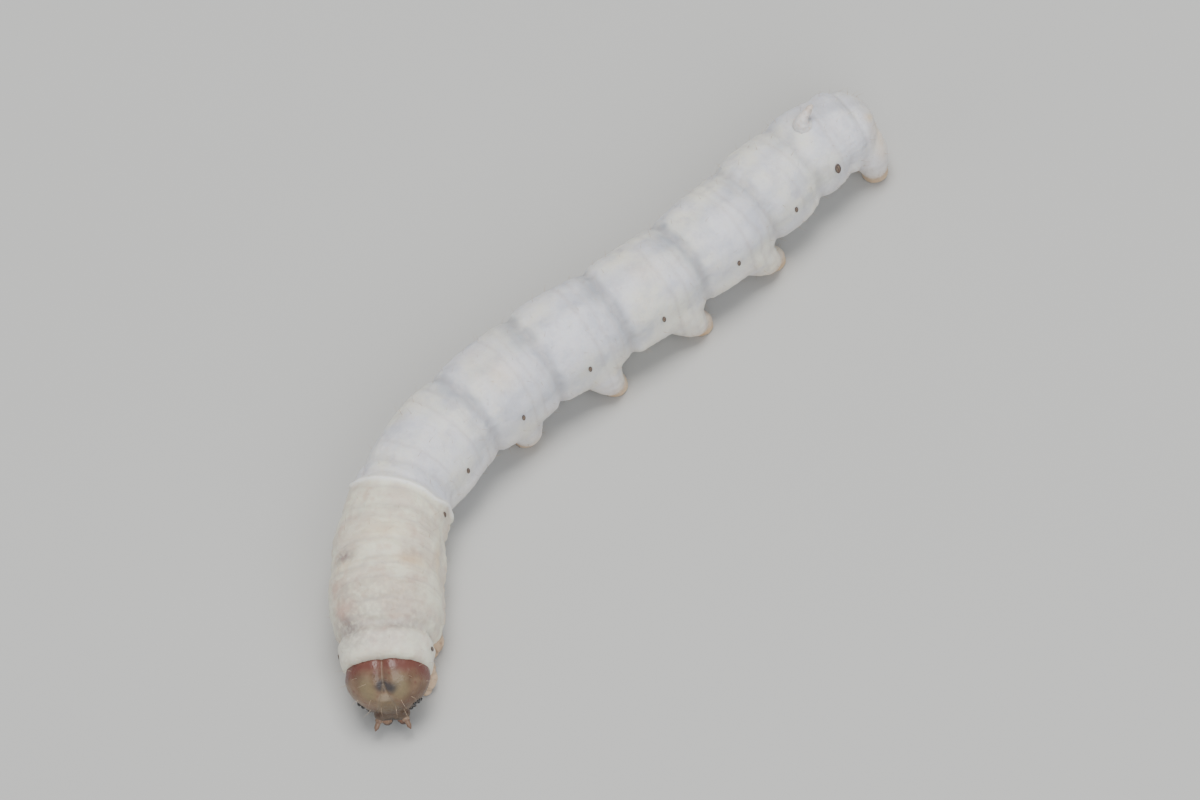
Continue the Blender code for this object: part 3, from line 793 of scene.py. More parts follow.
@dataclass(frozen=True)
class Finish:
    """The settings of one kind of surface that are the same all over it."""

    name: str
    roughness: float
    subsurface: float = 0.0
    subsurface_reach: float = 0.0
    coat: float = 0.0
    coat_roughness: float = 0.2
    sheen: float = 0.0
    specular: float = 0.5

    def start(self) -> tuple[bpy.types.Material, Graph, bpy.types.Node]:
        """Make the material with its plain settings, and return it, its graph and shader."""
        material = bpy.data.materials.new(self.name)
        material.use_nodes = True
        graph = Graph(material.node_tree)
        shader = material.node_tree.nodes["Principled BSDF"]
        plain = {
            "Roughness": self.roughness,
            "Subsurface Weight": self.subsurface,
            "Subsurface Scale": self.subsurface_reach * MM,
            "Coat Weight": self.coat,
            "Coat Roughness": self.coat_roughness,
            "Sheen Weight": self.sheen,
            "Specular IOR Level": self.specular,
        }
        for name, value in plain.items():
            shader.inputs[name].default_value = value
        shader.inputs["Subsurface Radius"].default_value = (1.0, 0.78, 0.62)
        return material, graph, shader

    @staticmethod
    def connect(graph: Graph, shader: bpy.types.Node, **links: object) -> None:
        """Link sockets of the shader, named with underscores for spaces."""
        for name, value in links.items():
            socket = value.socket if isinstance(value, Value) else value
            graph.tree.links.new(socket, shader.inputs[name.replace("_", " ")])


@dataclass(frozen=True)
class SkinFinish(Finish):
    """Soft waxy skin: cool white behind, cream and blushed in front, tan at the soles, with
    painted shade in its creases and on the front of the thorax.
    """

    white: Colour = (0.70, 0.70, 0.74)
    white_cool: Colour = (0.46, 0.48, 0.56)
    white_warm: Colour = (0.77, 0.755, 0.67)
    cream: Colour = (0.66, 0.590, 0.48)
    cream_light: Colour = (0.78, 0.765, 0.61)
    membrane: Colour = (0.31, 0.34, 0.39)
    # Greyish brown of painted shade in the creases.
    vessel: Colour = (0.38, 0.40, 0.46)
    fold: Colour = (0.48, 0.43, 0.41)
    pink: Colour = (0.54, 0.33, 0.26)
    # Greyish brown of the skin's own dark spots, also used as painted shade on the front of the
    # thorax.
    spot: Colour = (0.22, 0.16, 0.16)
    sole: Colour = (0.60, 0.37, 0.17)
    blush: Colour = (0.76, 0.60, 0.38)
    ridge: Colour = (0.92, 0.91, 0.87)

    def make(self) -> bpy.types.Material:
        """Build the skin's material."""
        material, graph, shader = self.start()
        place = graph.place()
        straight = graph.place("straight")
        cloud = graph.noise(place, 260.0, 4.0)
        patches = graph.noise(place, 620.0, 3.0, (1.0, 1.0, 1.3))
        mottle = graph.noise(place, 1100.0, 3.0)
        flecks = graph.noise(place, 3600.0, 2.0)
        thorax = graph.attribute("thorax")

        rear = graph.mix(cloud.step(0.40, 0.66), self.white, self.white_warm)
        coolness = patches.step(0.47, 0.68) * 0.42 + mottle.step(0.52, 0.74) * 0.30
        coolness = coolness + flecks.step(0.50, 0.80) * 0.12
        rear = graph.mix(coolness, rear, self.white_cool)
        front = graph.mix(patches.step(0.36, 0.60), self.cream, self.cream_light)
        colour = graph.mix(thorax, rear, front)
        colour = graph.layered(colour, (
            (mottle.step(0.50, 0.74) * (thorax * 0.34 + 0.07), self.pink),
            (graph.attribute("blush") * (mottle * 0.7 + 0.45), self.blush),
            (graph.attribute("membrane") * (cloud * 0.9 + 0.35), self.membrane),
            (graph.attribute("vessel") * (mottle * 0.8 + 0.4), self.vessel),
            # Painted shade in the creases.
            (graph.attribute("fold") * (flecks * 0.5 + 0.55), self.fold),
            (graph.attribute("ridge"), self.ridge),
            # Dark spots of the skin, together with painted shade on the front of the thorax.
            (graph.attribute("spots") * (flecks.step(0.30, 0.62) * 0.6 + 0.4), self.spot),
            (graph.attribute("rust") * (mottle.step(0.3, 0.6) * 0.7 + 0.3), self.pink),
            (graph.attribute("sole") * (mottle * 0.6 + 0.6), self.sole),
        ))

        pores = graph.cells(place, 5200.0)
        rings = graph.noise(straight, 900.0, 3.0, (1.0, 4.5, 1.0))
        height = rings * 0.55 + flecks * 0.25 + pores.step(0.0, 0.5) * 0.18
        normal = graph.relief(height, 0.000055, 0.9)
        self.connect(
            graph, shader, Base_Color=colour, Normal=normal,
            Roughness=(cloud * 0.14 + flecks * 0.14 + (self.roughness - 0.12)).clamp(),
        )
        return material


@dataclass(frozen=True)
class CapsuleFinish(Finish):
    """Hard head capsule: olive brown, with a red-brown rim behind and a dark spot in front, and
    painted shade darkening its lower half.
    """

    brown: Colour = (0.125, 0.072, 0.044)
    brown_light: Colour = (0.205, 0.128, 0.078)
    rim: Colour = (0.125, 0.036, 0.030)
    face: Colour = (0.200, 0.158, 0.084)
    frons: Colour = (0.032, 0.032, 0.038)
    pale: Colour = (0.34, 0.26, 0.18)
    seam: Colour = (0.21, 0.155, 0.10)
    # Near black: the capsule's own dark patches round the eyes, and painted shade on the lower
    # half of the head.
    dark: Colour = (0.024, 0.015, 0.012)
    mouth: Colour = (0.26, 0.19, 0.13)

    def make(self) -> bpy.types.Material:
        """Build the capsule's material."""
        material, graph, shader = self.start()
        place = graph.place()
        cloud = graph.noise(place, 900.0, 3.0)
        mottle = graph.noise(place, 2600.0, 4.0)
        colour = graph.mix(cloud.step(0.34, 0.66), self.brown, self.brown_light)
        flecks = graph.cells(place, 3400.0).step(0.42, 0.16) * mottle.step(0.40, 0.62)
        colour = graph.layered(colour, (
            (flecks * 0.55, self.rim),
            (graph.attribute("face") * (mottle * 0.7 + 0.55), self.face),
            (graph.attribute("pale"), self.pale),
            (graph.attribute("frons"), self.frons),
            (graph.attribute("rim"), self.rim),
            (graph.attribute("seam"), self.seam),
            (graph.attribute("mouth"), self.mouth),
            # Dark patches round the eyes, and painted shade on the lower half of the head.
            (graph.attribute("dark"), self.dark),
        ))
        height = graph.cells(place, 7000.0).step(0.0, 0.5) * 0.4 + mottle * 0.5
        self.connect(
            graph, shader, Base_Color=colour, Normal=graph.relief(height, 0.00003, 0.8),
            Roughness=(mottle * 0.22 + (self.roughness - 0.11)).clamp(),
        )
        return material


@dataclass(frozen=True)
class HardFinish(Finish):
    """Hard small parts that darken from their roots to their tips."""

    root: Colour = (0.62, 0.45, 0.30)
    tip: Colour = (0.16, 0.07, 0.04)
    fleck: Colour = (0.35, 0.22, 0.14)
    grain: float = 2400.0

    def make(self) -> bpy.types.Material:
        """Build the material, which reads how near each point is to its tip."""
        material, graph, shader = self.start()
        place = graph.place()
        mottle = graph.noise(place, self.grain, 3.0)
        colour = graph.mix(mottle.step(0.45, 0.72), self.root, self.fleck)
        colour = graph.mix(graph.attribute("tip"), colour, self.tip)
        self.connect(
            graph, shader, Base_Color=colour, Normal=graph.relief(mottle, 0.00003, 0.7),
            Roughness=(mottle * 0.2 + (self.roughness - 0.1)).clamp(),
        )
        return material


@dataclass(frozen=True)
class FloorFinish(Finish):
    """A matt, pale, faintly uneven board."""

    shade: Colour = (0.50, 0.50, 0.485)
    light: Colour = (0.53, 0.53, 0.515)

    def make(self) -> bpy.types.Material:
        """Build the floor's material."""
        material, graph, shader = self.start()
        cloud = graph.noise(graph.place(), 30.0, 4.0)
        self.connect(graph, shader, Base_Color=graph.mix(cloud, self.shade, self.light))
        return material


def dress(mesh: bpy.types.Mesh, name: str, material: bpy.types.Material, slot: str,
          *nodes: str) -> bpy.types.Object:
    """Turn a mesh in millimetres into a finished piece in metres.

    Args:
        mesh: The mesh in the model's frame.
        name: The piece's name.
        material: Its finish, kept as it is if the mesh already has its own.
        slot: The record's material slot; not used.
        nodes: The CAD nodes that the piece stands for.

    Returns:
        The piece, riding on the body.
    """
    mesh.transform(Matrix.Scale(MM, 4))
    mesh.name = name
    if not mesh.materials:
        mesh.materials.append(material)
    mesh.shade_smooth()
    piece = add_object(name, mesh)
    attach(piece, ROOT)
    if nodes:
        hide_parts(*nodes)
    logging.info("%s: %d faces", name, len(mesh.polygons))
    return piece


@dataclass
class BodySkin:
    """The one skin over thorax, abdomen and prolegs, with its folds and its marks."""

    spine: Spine
    voxel: float = 0.112
    ring_sides: int = 120
    hip_share: float = 0.42
    ankle_height: float = 0.55
    sole_chamfer: float = 0.16
    foot_sides: int = 40
    cushion: tuple[float, float, float] = (0.92, 0.88, 0.52)
    joint_depth: float = 0.10
    joint_reach: float = 0.21
    mark_radius: float = 2.9
    grain: Grain = field(default_factory=lambda: Grain(11))
    second_grain: Grain = field(default_factory=lambda: Grain(29))

    def limb(self, stance: Stance, side: Side) -> Limb:
        """Lay out one proleg from inside the body to its flat sole."""
        axis, left, _, along, root = self.spine.root(
            stance.segment, stance.share, side.angle(stance.root_deg)
        )
        sole = axis + left * stance.outward * side.value + along * stance.backward
        sole[2] = 0.0
        ankle, rim = (sole + (0.0, 0.0, up) for up in (self.ankle_height, self.sole_chamfer))
        hip = axis + (root - axis) * self.hip_share
        middle = ankle + (root - ankle) * 0.45
        guides = [hip, hip + (middle - hip) * 0.55, middle + (ankle - middle) * 0.2, ankle]
        upper, shin, foot = (np.linspace(0, 1, n)[:, None] for n in (36, 6, 5))
        path = np.concatenate([
            along_guides(guides, len(upper)),
            (ankle + (rim - ankle) * shin)[1:],
            (rim + (sole - rim) * foot)[1:],
        ])
        *leg, ankle_radius, rim_radius, sole_radius = stance.radii
        knots = np.linspace(0.0, 1.0, len(leg) + 1)
        widths = np.concatenate([
            hermite(knots, [*leg, ankle_radius], upper[:, 0]),
            (ankle_radius + (rim_radius - ankle_radius) * shin[1:, 0]),
            sole_radius + (rim_radius - sole_radius) * np.sqrt(1.0 - foot[1:, 0] ** 2),
        ])
        return Limb(f"{stance.word}_{side.word}", path, widths)

    def limbs(self) -> list[Limb]:
        """Lay out all ten prolegs."""
        return [self.limb(stance, side) for side in Side for stance in STANCES]

    def trunk(self) -> bpy.types.Mesh:
        """Loft the plain trunk from the collar's lip to the dome of the tail."""
        spine = self.spine
        lip = -spine.COLLAR_REACH * np.sin(np.linspace(math.pi / 2, 0.0, 8))
        run = np.arange(0.1, spine.end - spine.TAIL_ROUNDING, 0.1)
        dome = np.sin(np.linspace(0.0, math.pi / 2, 22)) * spine.TAIL_ROUNDING * 1.04
        stations = np.concatenate([lip, run, spine.end - spine.TAIL_ROUNDING + dome[:-1]])
        angles = np.linspace(0.0, TURN, self.ring_sides, endpoint=False)
        grid = np.array(np.meshgrid(stations, angles, indexing="ij")).reshape(2, -1)
        points = spine.skin(grid[0], grid[1])
        return loft(points.reshape(len(stations), self.ring_sides, 3))

    def leg_cushions(self) -> list[bpy.types.Mesh]:
        """Make the soft cushions that the six jointed legs stand out of."""
        cushions = []
        for name, side in itertools.product(LEG_BEARERS, Side):
            axis, _, _, along, root = self.spine.root(name, LEG_SHARE, side.angle(LEG_ROOT_DEG))
            outward = unit(root - axis)
            across = unit(np.cross(outward, along))
            axes = np.array([across, along, outward]) * np.array(self.cushion)[:, None]
            cushions.append(ball(root - outward * 0.12 - along * 0.1, axes, 4))
        return cushions

    def wander(self, stations: np.ndarray, angles: np.ndarray, girth: float,
               seed_shift: float) -> np.ndarray:
        """Return a slow sideways drift that keeps creases from being perfect rings."""
        rows = np.column_stack(
            [np.cos(angles) * girth, np.sin(angles) * girth, stations * 0.15 + seed_shift]
        )
        return self.grain(rows)

    def creases(self, stations: np.ndarray, angles: np.ndarray) -> tuple[np.ndarray, ...]:
        """Work out the rings of folds.

        Returns:
            The rise of the skin, the share of a joint's fold at each point, and the
            share of a finer crease.
        """
        rise = np.zeros(len(stations))
        joint_share = np.zeros(len(stations))
        fine_share = np.zeros(len(stations))
        side_deg = side_degrees(angles)
        for number, (joint, cinch) in enumerate(self.spine.cinches, start=1):
            drift = 0.16 * self.wander(stations, angles, 1.1, number * 3.7)
            drift += 0.05 * self.wander(stations, angles, 3.1, number * 5.1)
            offset = stations - joint - drift
            bed = furrow(offset, self.joint_reach)
            strength = 1.0 + 0.45 * self.wander(stations, angles, 1.3, number * 2.3)
            rise -= self.joint_depth * cinch * bed * strength
            rise += 0.03 * cinch * (bump(offset - 0.42, 0.22) + bump(offset + 0.42, 0.22))
            joint_share = np.maximum(joint_share, min(cinch, 1.0) * bump(offset, 0.20))
        for segment, start in zip(SEGMENTS, self.spine.joints):
            for order, share in enumerate(segment.annulets):
                key = start + 11.3 * order
                drift = 0.15 * self.wander(stations, angles, 0.9, key)
                drift += 0.05 * self.wander(stations, angles, 2.9, key + 5.0)
                offset = stations - start - segment.length * share - drift
                strength = 0.75 + 0.6 * self.wander(stations, angles, 1.5, key + 9.0)
                strength *= ramp(side_deg, -75.0, -40.0)
                bed = furrow(offset, 0.11) * np.clip(strength, 0.1, 1.3)
                rise -= segment.annulet_depth * bed
                fine_share = np.maximum(fine_share, bump(offset, 0.10) * np.clip(strength, 0, 1))
        return rise, joint_share, fine_share

    def make(self) -> bpy.types.Mesh:
        """Build the whole skin and mark its colours.

        Returns:
            The skin's mesh in millimetres.
        """
        feet = self.limbs()
        shapes = [self.trunk()] + self.leg_cushions()
        shapes += [tube(foot.path, foot.radii, self.foot_sides) for foot in feet]
        clay = fuse(shapes, self.voxel)
        clay.relax(2, 0.5)
        stations, angles, lift = self.spine.locate(clay.points)
        outside = np.min([foot.nearness(clay.points) for foot in feet], axis=0)
        legs = ramp(lift, 0.05, 0.40) * ramp(outside, 0.45, 0.15)
        seam = bump(lift - 0.15, 0.30) * ramp(outside, 0.8, 0.3)
        clay.relax(16, 0.5 * seam)
        self.fold(clay, stations, angles, legs)
        self.colour(clay, stations, angles, legs)
        return clay.settle()

    def fold(self, clay: Clay, stations: np.ndarray, angles: np.ndarray,
             legs: np.ndarray) -> None:
        """Move the skin out and in by all its folds and wrinkles."""
        trunk = 1.0 - legs
        straight = np.column_stack(
            [np.cos(angles) * 3.0, stations, np.sin(angles) * 3.0]
        )
        self.straight = straight
        index = self.spine.index_of(stations)
        wrinkle = np.array([s.wrinkle for s in SEGMENTS])[index]
        wrinkle = clay.neighbour_mean(clay.neighbour_mean(wrinkle))
        rise, joint_share, fine_share = self.creases(stations, angles)
        rings = self.grain.ridges(straight * (0.42, 2.3, 0.42))
        rings += 0.6 * self.second_grain.ridges(straight * (0.8, 4.1, 0.8) + 5.0)
        near_joint = sum(bump(stations - joint, 0.75) for joint in self.spine.joints[1:-1])
        puckers = self.second_grain.ridges(straight * (1.9, 0.45, 1.9))
        pucker_depth = 0.030 * near_joint + 0.45 * np.maximum(wrinkle - 0.03, 0.0)
        rise -= wrinkle * rings + pucker_depth * puckers
        crumple = self.grain.ridges(straight * (1.1, 2.2, 1.1) + 17.0)
        rise -= 1.1 * np.maximum(wrinkle - 0.025, 0.0) * crumple
        rise += 0.08 * self.grain.clouds(straight * 0.38, 3)
        back = bump(np.degrees(angles) - 90.0, 9.0)
        rise -= 0.05 * back * (0.35 + joint_share)
        ridge = bump(self.past_ridge(stations, angles), 0.15)
        rise += 0.14 * ridge
        rise += self.shields(stations, angles)
        self.joint_share, self.fine_share, self.ridge = joint_share, fine_share, ridge
        foot_rise = self.foot_folds(clay.points)
        self.depth = rise * trunk + foot_rise * legs
        normals = clay.normals()
        floor_keep = ramp(clay.points[:, 2], 0.02, 0.30)
        clay.points += normals * (self.depth * floor_keep)[:, None]
        clay.points[:, 2] = np.maximum(clay.points[:, 2], 0.0)

    def past_ridge(self, stations: np.ndarray, angles: np.ndarray) -> np.ndarray:
        """Return how far behind the thin ridge of the first abdominal segment points lie."""
        sweep = 1.35 + 0.75 * ramp(side_degrees(angles), 35.0, -5.0)
        return stations - self.spine.starts["abdomen_1"] - sweep

    def shields(self, stations: np.ndarray, angles: np.ndarray) -> np.ndarray:
        """Return the rise of the neck shield, the horn's base and the tail's shield."""
        degrees = np.degrees(angles)
        starts = self.spine.starts
        neck = bump(stations - starts["thorax_1"] - 0.75, 0.75) * bump(degrees - 90.0, 46.0)
        mound_run = stations - starts["abdomen_8"] - 1.4
        mound_side = np.radians(degrees - 90.0) * 2.8
        mound = oval(mound_run / 0.85, mound_side / 0.85)
        tail_rim = stations - starts["abdomen_10"] - 0.25 + 0.25 * np.sin(angles)
        rim = furrow(tail_rim, 0.15) * ramp(np.sin(angles), -0.2, 0.3)
        return 0.05 * neck + 0.26 * mound - 0.09 * rim

    def foot_folds(self, points: np.ndarray) -> np.ndarray:
        """Return the rise of the soft rings and wrinkles of the prolegs."""
        height = points[:, 2]
        drift = 0.10 * self.grain(points * 1.3) + 0.04 * self.second_grain(points * 3.1)
        rise = np.zeros(len(points))
        for level, depth in ((0.42, 0.06), (0.78, 0.05), (1.20, 0.06), (1.65, 0.05)):
            rise -= depth * furrow(height - level - drift, 0.09)
        rise -= 0.02 * self.grain.ridges(points * 2.2)
        return rise

    def marks(self, stations: np.ndarray, angles: np.ndarray,
              marks: tuple[Mark, ...]) -> np.ndarray:
        """Add up soft oval marks, each with a faint twin on the other side of the back."""
        total = np.zeros(len(stations))
        for mark in marks:
            offset = stations - self.spine.station(mark.segment, mark.share)
            for degrees, share in ((mark.degrees, 1.0), (180.0 - mark.degrees, 0.4)):
                turn = (np.degrees(angles) - degrees + 180.0) % 360.0 - 180.0
                across = np.radians(turn) * self.mark_radius
                total += mark.strength * share * oval(offset / mark.run, across / mark.arc)
        return np.clip(total, 0.0, 1.0)

    def colour(self, clay: Clay, stations: np.ndarray, angles: np.ndarray,
               legs: np.ndarray) -> None:
        """Mark where each colour of the skin lies."""
        starts = self.spine.starts
        side_deg = side_degrees(angles)
        degrees = np.degrees(angles)
        trunk = 1.0 - legs
        uneven = self.second_grain.clouds(self.straight * 0.9, 2)
        back_line = bump(degrees - 90.0 + 2.5 * self.grain(self.straight * 0.8), 7.0)
        dorsal = ramp(side_deg, -20.0, 30.0)
        bands = np.zeros(len(stations))
        strengths = dict(abdomen_3=0.75, abdomen_4=0.80, abdomen_5=1.0, abdomen_6=0.9,
                         abdomen_7=0.55, abdomen_8=0.35)
        for name, strength in strengths.items():
            offset = stations - starts[name] - 0.20 * uneven
            band = bump(offset + 0.04, 0.34) * (0.55 + 0.45 * dorsal + 0.35 * uneven)
            band += 0.36 * bump(offset + 0.45, 0.85) * dorsal * (1.0 + 0.6 * uneven)
            bands = np.maximum(bands, strength * band)
            spot = bump(offset + 0.40, 0.60) * bump(degrees - 92.0, 24.0)
            bands = np.maximum(bands, strength * 1.35 * spot)
        clay.mark("membrane", np.clip(bands * trunk * 0.74, 0.0, 1.0))
        along = ramp(stations, starts["abdomen_2"], starts["abdomen_3"])
        clay.mark("vessel", 0.30 * back_line * along * trunk)
        clay.mark("thorax", ramp(self.past_ridge(stations, angles), 0.45, -0.15))
        # Painted shade in the creases: darker along the joints and the finer creases and wherever
        # the skin is sunk in, less on the ridge.
        fold = np.maximum(self.joint_share * 0.5, self.fine_share * 0.42)
        fold = np.maximum(fold, np.clip(-self.depth * 2.6 - 0.22, 0.0, 0.7))
        clay.mark("fold", fold * (1.0 - 0.6 * self.ridge))
        collar = ramp(stations, 1.15, 0.75) * ramp(stations, -0.35, 0.1)
        clay.mark("ridge", np.maximum(self.ridge * ramp(side_deg, -40.0, 0.0), 0.18 * collar))
        # Dark spots of the skin, together with painted shade on the collar and the second thoracic
        # segment.
        clay.mark("spots", self.marks(stations, angles, DARK_SPOTS_AND_PAINTED_SHADE))
        clay.mark("rust", self.marks(stations, angles, RUSTY_MARKS))
        height = clay.points[:, 2]
        clay.mark("sole", legs * ramp(height, 1.5, 0.15) * 0.85)
        low_side = bump(side_deg + 30.0, 18.0) * trunk
        tail = ramp(stations, self.spine.end - 1.6, self.spine.end - 0.2)
        tail_edge = tail * (0.35 + 0.65 * bump(side_deg, 38.0))
        blush = np.maximum(0.26 * low_side, 0.60 * tail_edge)
        blush = np.maximum(blush, legs * ramp(height, 3.2, 1.2) * 0.35)
        blush = np.maximum(blush, self.marks(stations, angles, WARM_MARKS))
        clay.mark("blush", np.clip(blush, 0.0, 1.0))
        clay.mark("straight", self.straight * MM)


class Head:
    """The head's own frame: left, towards the crown, and out of the face."""

    HALVES = (2.22, 2.10, 1.80)
    LIFT_DEG = 16.0
    REACH = 0.65
    DROP = 0.30
    TAPER = 0.36
    GROOVE = (0.17, 0.30)
    HOLLOW = (0.12, 0.55)
    ANTENNA_AIM = (36.0, -50.0)
    EYE_AIM = (57.0, -24.0)

    def __init__(self, spine: Spine) -> None:
        (neck,), (left,), (up,), (rearward,) = spine.frame(np.array([0.0]))
        forward = -rearward
        lift = math.radians(self.LIFT_DEG)
        face = forward * math.cos(lift) + up * math.sin(lift)
        crown = up * math.cos(lift) - forward * math.sin(lift)
        self.centre = neck + forward * self.REACH - up * self.DROP
        self.axes = np.array([left, crown, face])

    def out(self, local: np.ndarray) -> np.ndarray:
        """Turn places in the head's frame into the model's."""
        return self.centre + np.asarray(local, float) @ self.axes

    def inside(self, points: np.ndarray) -> np.ndarray:
        """Turn places in the model's frame into the head's."""
        return (points - self.centre) @ self.axes.T

    def shell(self, aims: np.ndarray) -> np.ndarray:
        """Return the plain capsule's surface, in the head's frame, along directions."""
        aims = unit(np.atleast_2d(aims))
        reach = 1.0 / np.sqrt(((aims / self.HALVES) ** 2).sum(axis=1))
        across, upward, forward = aims.T
        top = 1.0 / (1.0 + np.exp(-6.0 * (upward + 0.15)))
        groove = self.GROOVE[0] * bump(across * reach, self.GROOVE[1]) * top
        low = bump(upward * reach + 0.75, 0.7) * np.maximum(forward, 0.0)
        hollow = self.HOLLOW[0] * bump(across * reach, self.HOLLOW[1]) * low
        reach = reach - groove - hollow
        taper = 1.0 - self.TAPER * np.maximum(-upward, 0.0) ** 1.5
        return np.column_stack([across * reach * taper, upward * reach, forward * reach])

    def spot(self, aim: tuple[float, float], side: Side) -> np.ndarray:
        """Return the place on the plain capsule, in the head's frame, at an aim.

        Args:
            aim: The turn out to the side and the tilt above the face, in degrees.
            side: The side that it lies on.
        """
        turn, tilt = math.radians(aim[0] * side.value), math.radians(aim[1])
        way = (math.sin(turn) * math.cos(tilt), math.sin(tilt), math.cos(turn) * math.cos(tilt))
        return self.shell(np.array(way))[0]


def gap_to_line(places: np.ndarray, corners: list[tuple[float, float]]) -> np.ndarray:
    """Return the distance of level places from a line through corners."""
    best = np.full(len(places), FAR)
    for start, end in zip(corners, corners[1:]):
        first, run = np.array(start), np.array(end) - start
        share = np.clip(((places - first) @ run) / (run @ run), 0.0, 1.0)
        gap = np.linalg.norm(places - first - share[:, None] * run, axis=1)
        best = np.minimum(best, gap)
    return best


@dataclass
class HeadCapsule:
    """The hard capsule with its lobes, seams, face plate, lip and lower mouthparts."""

    head: Head
    voxel: float = 0.048
    apex: tuple[float, float] = (0.0, 1.12)
    corner: tuple[float, float] = (0.74, -1.12)
    plate_foot: float = -1.42
    lip: tuple = ((0.27, -1.62, 1.02), (0.38, 0.34, 0.34))
    palp: tuple = ((0.50, -2.02, -0.30), (0.27, 0.40, 0.27))
    spinneret: tuple = (-1.5, 0.26, -0.12, (0.40, 0.40, 0.36, 0.24, 0.13))
    spinneret_rings: int = 20
    spinneret_sides: int = 24
    grain: Grain = field(default_factory=lambda: Grain(41))

    def lump(self, place: tuple, half: tuple, side: Side | None = None) -> bpy.types.Mesh:
        """Make one rounded mouthpart along the head's own axes."""
        sign = 1.0 if side is None else side.value
        centre = self.head.out((place[0] * sign, place[1], place[2]))
        return ball(centre, self.head.axes * np.array(half)[:, None], 4)

    def shell(self) -> bpy.types.Mesh:
        """Make the plain capsule, whole, with its rear inside the collar."""
        clay = Clay(ball(np.zeros(3), np.identity(3), 6))
        clay.points = self.head.out(self.head.shell(clay.points))
        return clay.settle()

    def mouthparts(self) -> list[bpy.types.Mesh]:
        """Make the face plate's foot, the lip, the palps and the silk spout."""
        parts = [self.lump((0.0, -1.28, 1.12), (0.72, 0.26, 0.30))]
        for side in Side:
            parts.append(self.lump(*self.lip, side))
            parts.append(self.lump(*self.palp, side))
            parts.append(self.lump((0.58, -2.48, -0.16), (0.15, 0.22, 0.15), side))
            parts.append(self.lump((0.36, -2.40, -0.10), (0.12, 0.18, 0.12), side))
            socket = self.head.out(self.head.spot(self.head.ANTENNA_AIM, side))
            parts.append(ball(socket, self.head.axes * 0.38, 4))
        top, step, forward, radii = self.spinneret
        spots = [(0.0, top - step * n, forward) for n in range(len(radii))]
        path = along_guides([self.head.out(spot) for spot in spots], self.spinneret_rings)
        places = np.linspace(0, len(radii) - 1, self.spinneret_rings)
        widths = hermite(np.arange(len(radii)), radii, places)
        parts.append(tube(path, widths, self.spinneret_sides))
        return parts

    def make(self) -> bpy.types.Mesh:
        """Build the capsule and mark its colours."""
        clay = fuse([self.shell()] + self.mouthparts(), self.voxel)
        clay.relax(3, 0.5)
        local = self.head.inside(clay.points)
        across, upward, forward = local.T
        front = ramp(forward, 0.15, 0.60)
        flat = np.column_stack([np.abs(across), upward])
        fork = gap_to_line(flat, [self.apex, self.corner])
        stem = gap_to_line(flat, [self.apex, (0.0, 2.6)])
        stem = np.where(upward > self.apex[1], stem, FAR)
        plate = gap_to_line(flat, [(0.0, self.corner[1]), self.corner,
                                   (0.60, self.plate_foot), (0.0, self.plate_foot)])
        inner = gap_to_line(flat, [(0.0, self.apex[1] - 0.30), (0.55, -1.02)])
        rise = -0.050 * furrow(fork, 0.050) * front
        rise -= 0.022 * furrow(inner, 0.040) * front * ramp(flat[:, 0], 0.0, 0.08)
        rise -= 0.070 * furrow(stem, 0.060)
        rise -= 0.045 * furrow(plate, 0.040) * front * ramp(upward, -2.0, -1.6)
        rise += 0.035 * self.inside_frons(flat) * front * bump(flat[:, 0], 0.25)
        rise += 0.022 * self.grain.clouds(local * 1.4, 3)
        pits = self.grain(local * 4.2 + 3.0)
        rise -= 0.014 * ramp(pits, 0.35, 0.7)
        clay.points += clay.normals() * rise[:, None]
        self.colour(clay, local, fork, stem, front)
        return clay.settle()

    def inside_frons(self, flat: np.ndarray) -> np.ndarray:
        """Return how far places lie inside the triangle of the face."""
        apex, corner = np.array(self.apex), np.array(self.corner)
        run = corner - apex
        side = (flat - apex) @ np.array([-run[1], run[0]]) / np.linalg.norm(run)
        return ramp(-side, 0.0, 0.08) * ramp(flat[:, 1], corner[1], corner[1] + 0.08)

    def colour(self, clay: Clay, local: np.ndarray, fork: np.ndarray, stem: np.ndarray,
               front: np.ndarray) -> None:
        """Mark where each colour of the capsule lies."""
        across, upward, forward = local.T
        lift = math.radians(self.head.LIFT_DEG)
        ahead = forward * math.cos(lift) - upward * math.sin(lift) + self.head.REACH
        back = ramp(ahead + 0.16 * self.grain(local * 1.5), 1.30, 0.70)
        clay.mark("rim", np.clip(back * 0.85, 0.0, 1.0))
        patch = np.hypot((np.abs(across) - 0.85) / 0.62, (upward - 0.85) / 0.85)
        middle = np.hypot(across / 0.9, (upward + 0.2) / 1.0)
        face = np.maximum(ramp(patch, 1.1, 0.3), 0.6 * ramp(middle, 1.05, 0.35))
        clay.mark("face", face * front * 0.85)
        spot = np.hypot((across - 0.14) / 0.70, (upward - 1.04) / 0.38)
        spot += 0.25 * self.grain(local * 2.2)
        clay.mark("frons", ramp(spot, 1.20, 0.45) * front * 0.88)
        below = np.hypot(across / 0.50, (upward - 0.42) / 0.30)
        clay.mark("pale", ramp(below, 1.1, 0.4) * front * 0.70)
        stem_share = 0.8 * bump(stem, 0.06) * ramp(forward, -0.3, 0.2)
        clay.mark("seam", np.maximum(bump(fork, 0.07) * front, stem_share) * 0.55)
        clay.mark("mouth", ramp(upward, -1.36, -1.52) * 0.75)
        # Painted shade: the lower half of the head darkens towards the mouth. The patches round
        # the eyes are the capsule's own dark colour.
        dark = 0.72 * ramp(upward, 0.0, -1.15)
        for side in Side:
            eye = self.head.spot(self.head.EYE_AIM, side)
            dark = np.maximum(dark, ramp(np.linalg.norm(local - eye, axis=1), 0.62, 0.34))
        # A thin darker line along the lower lip.
        lower_lip = bump(upward + 1.72, 0.12) * front
        clay.mark("dark", np.clip(dark * 0.75 + lower_lip * 0.3, 0.0, 1.0))


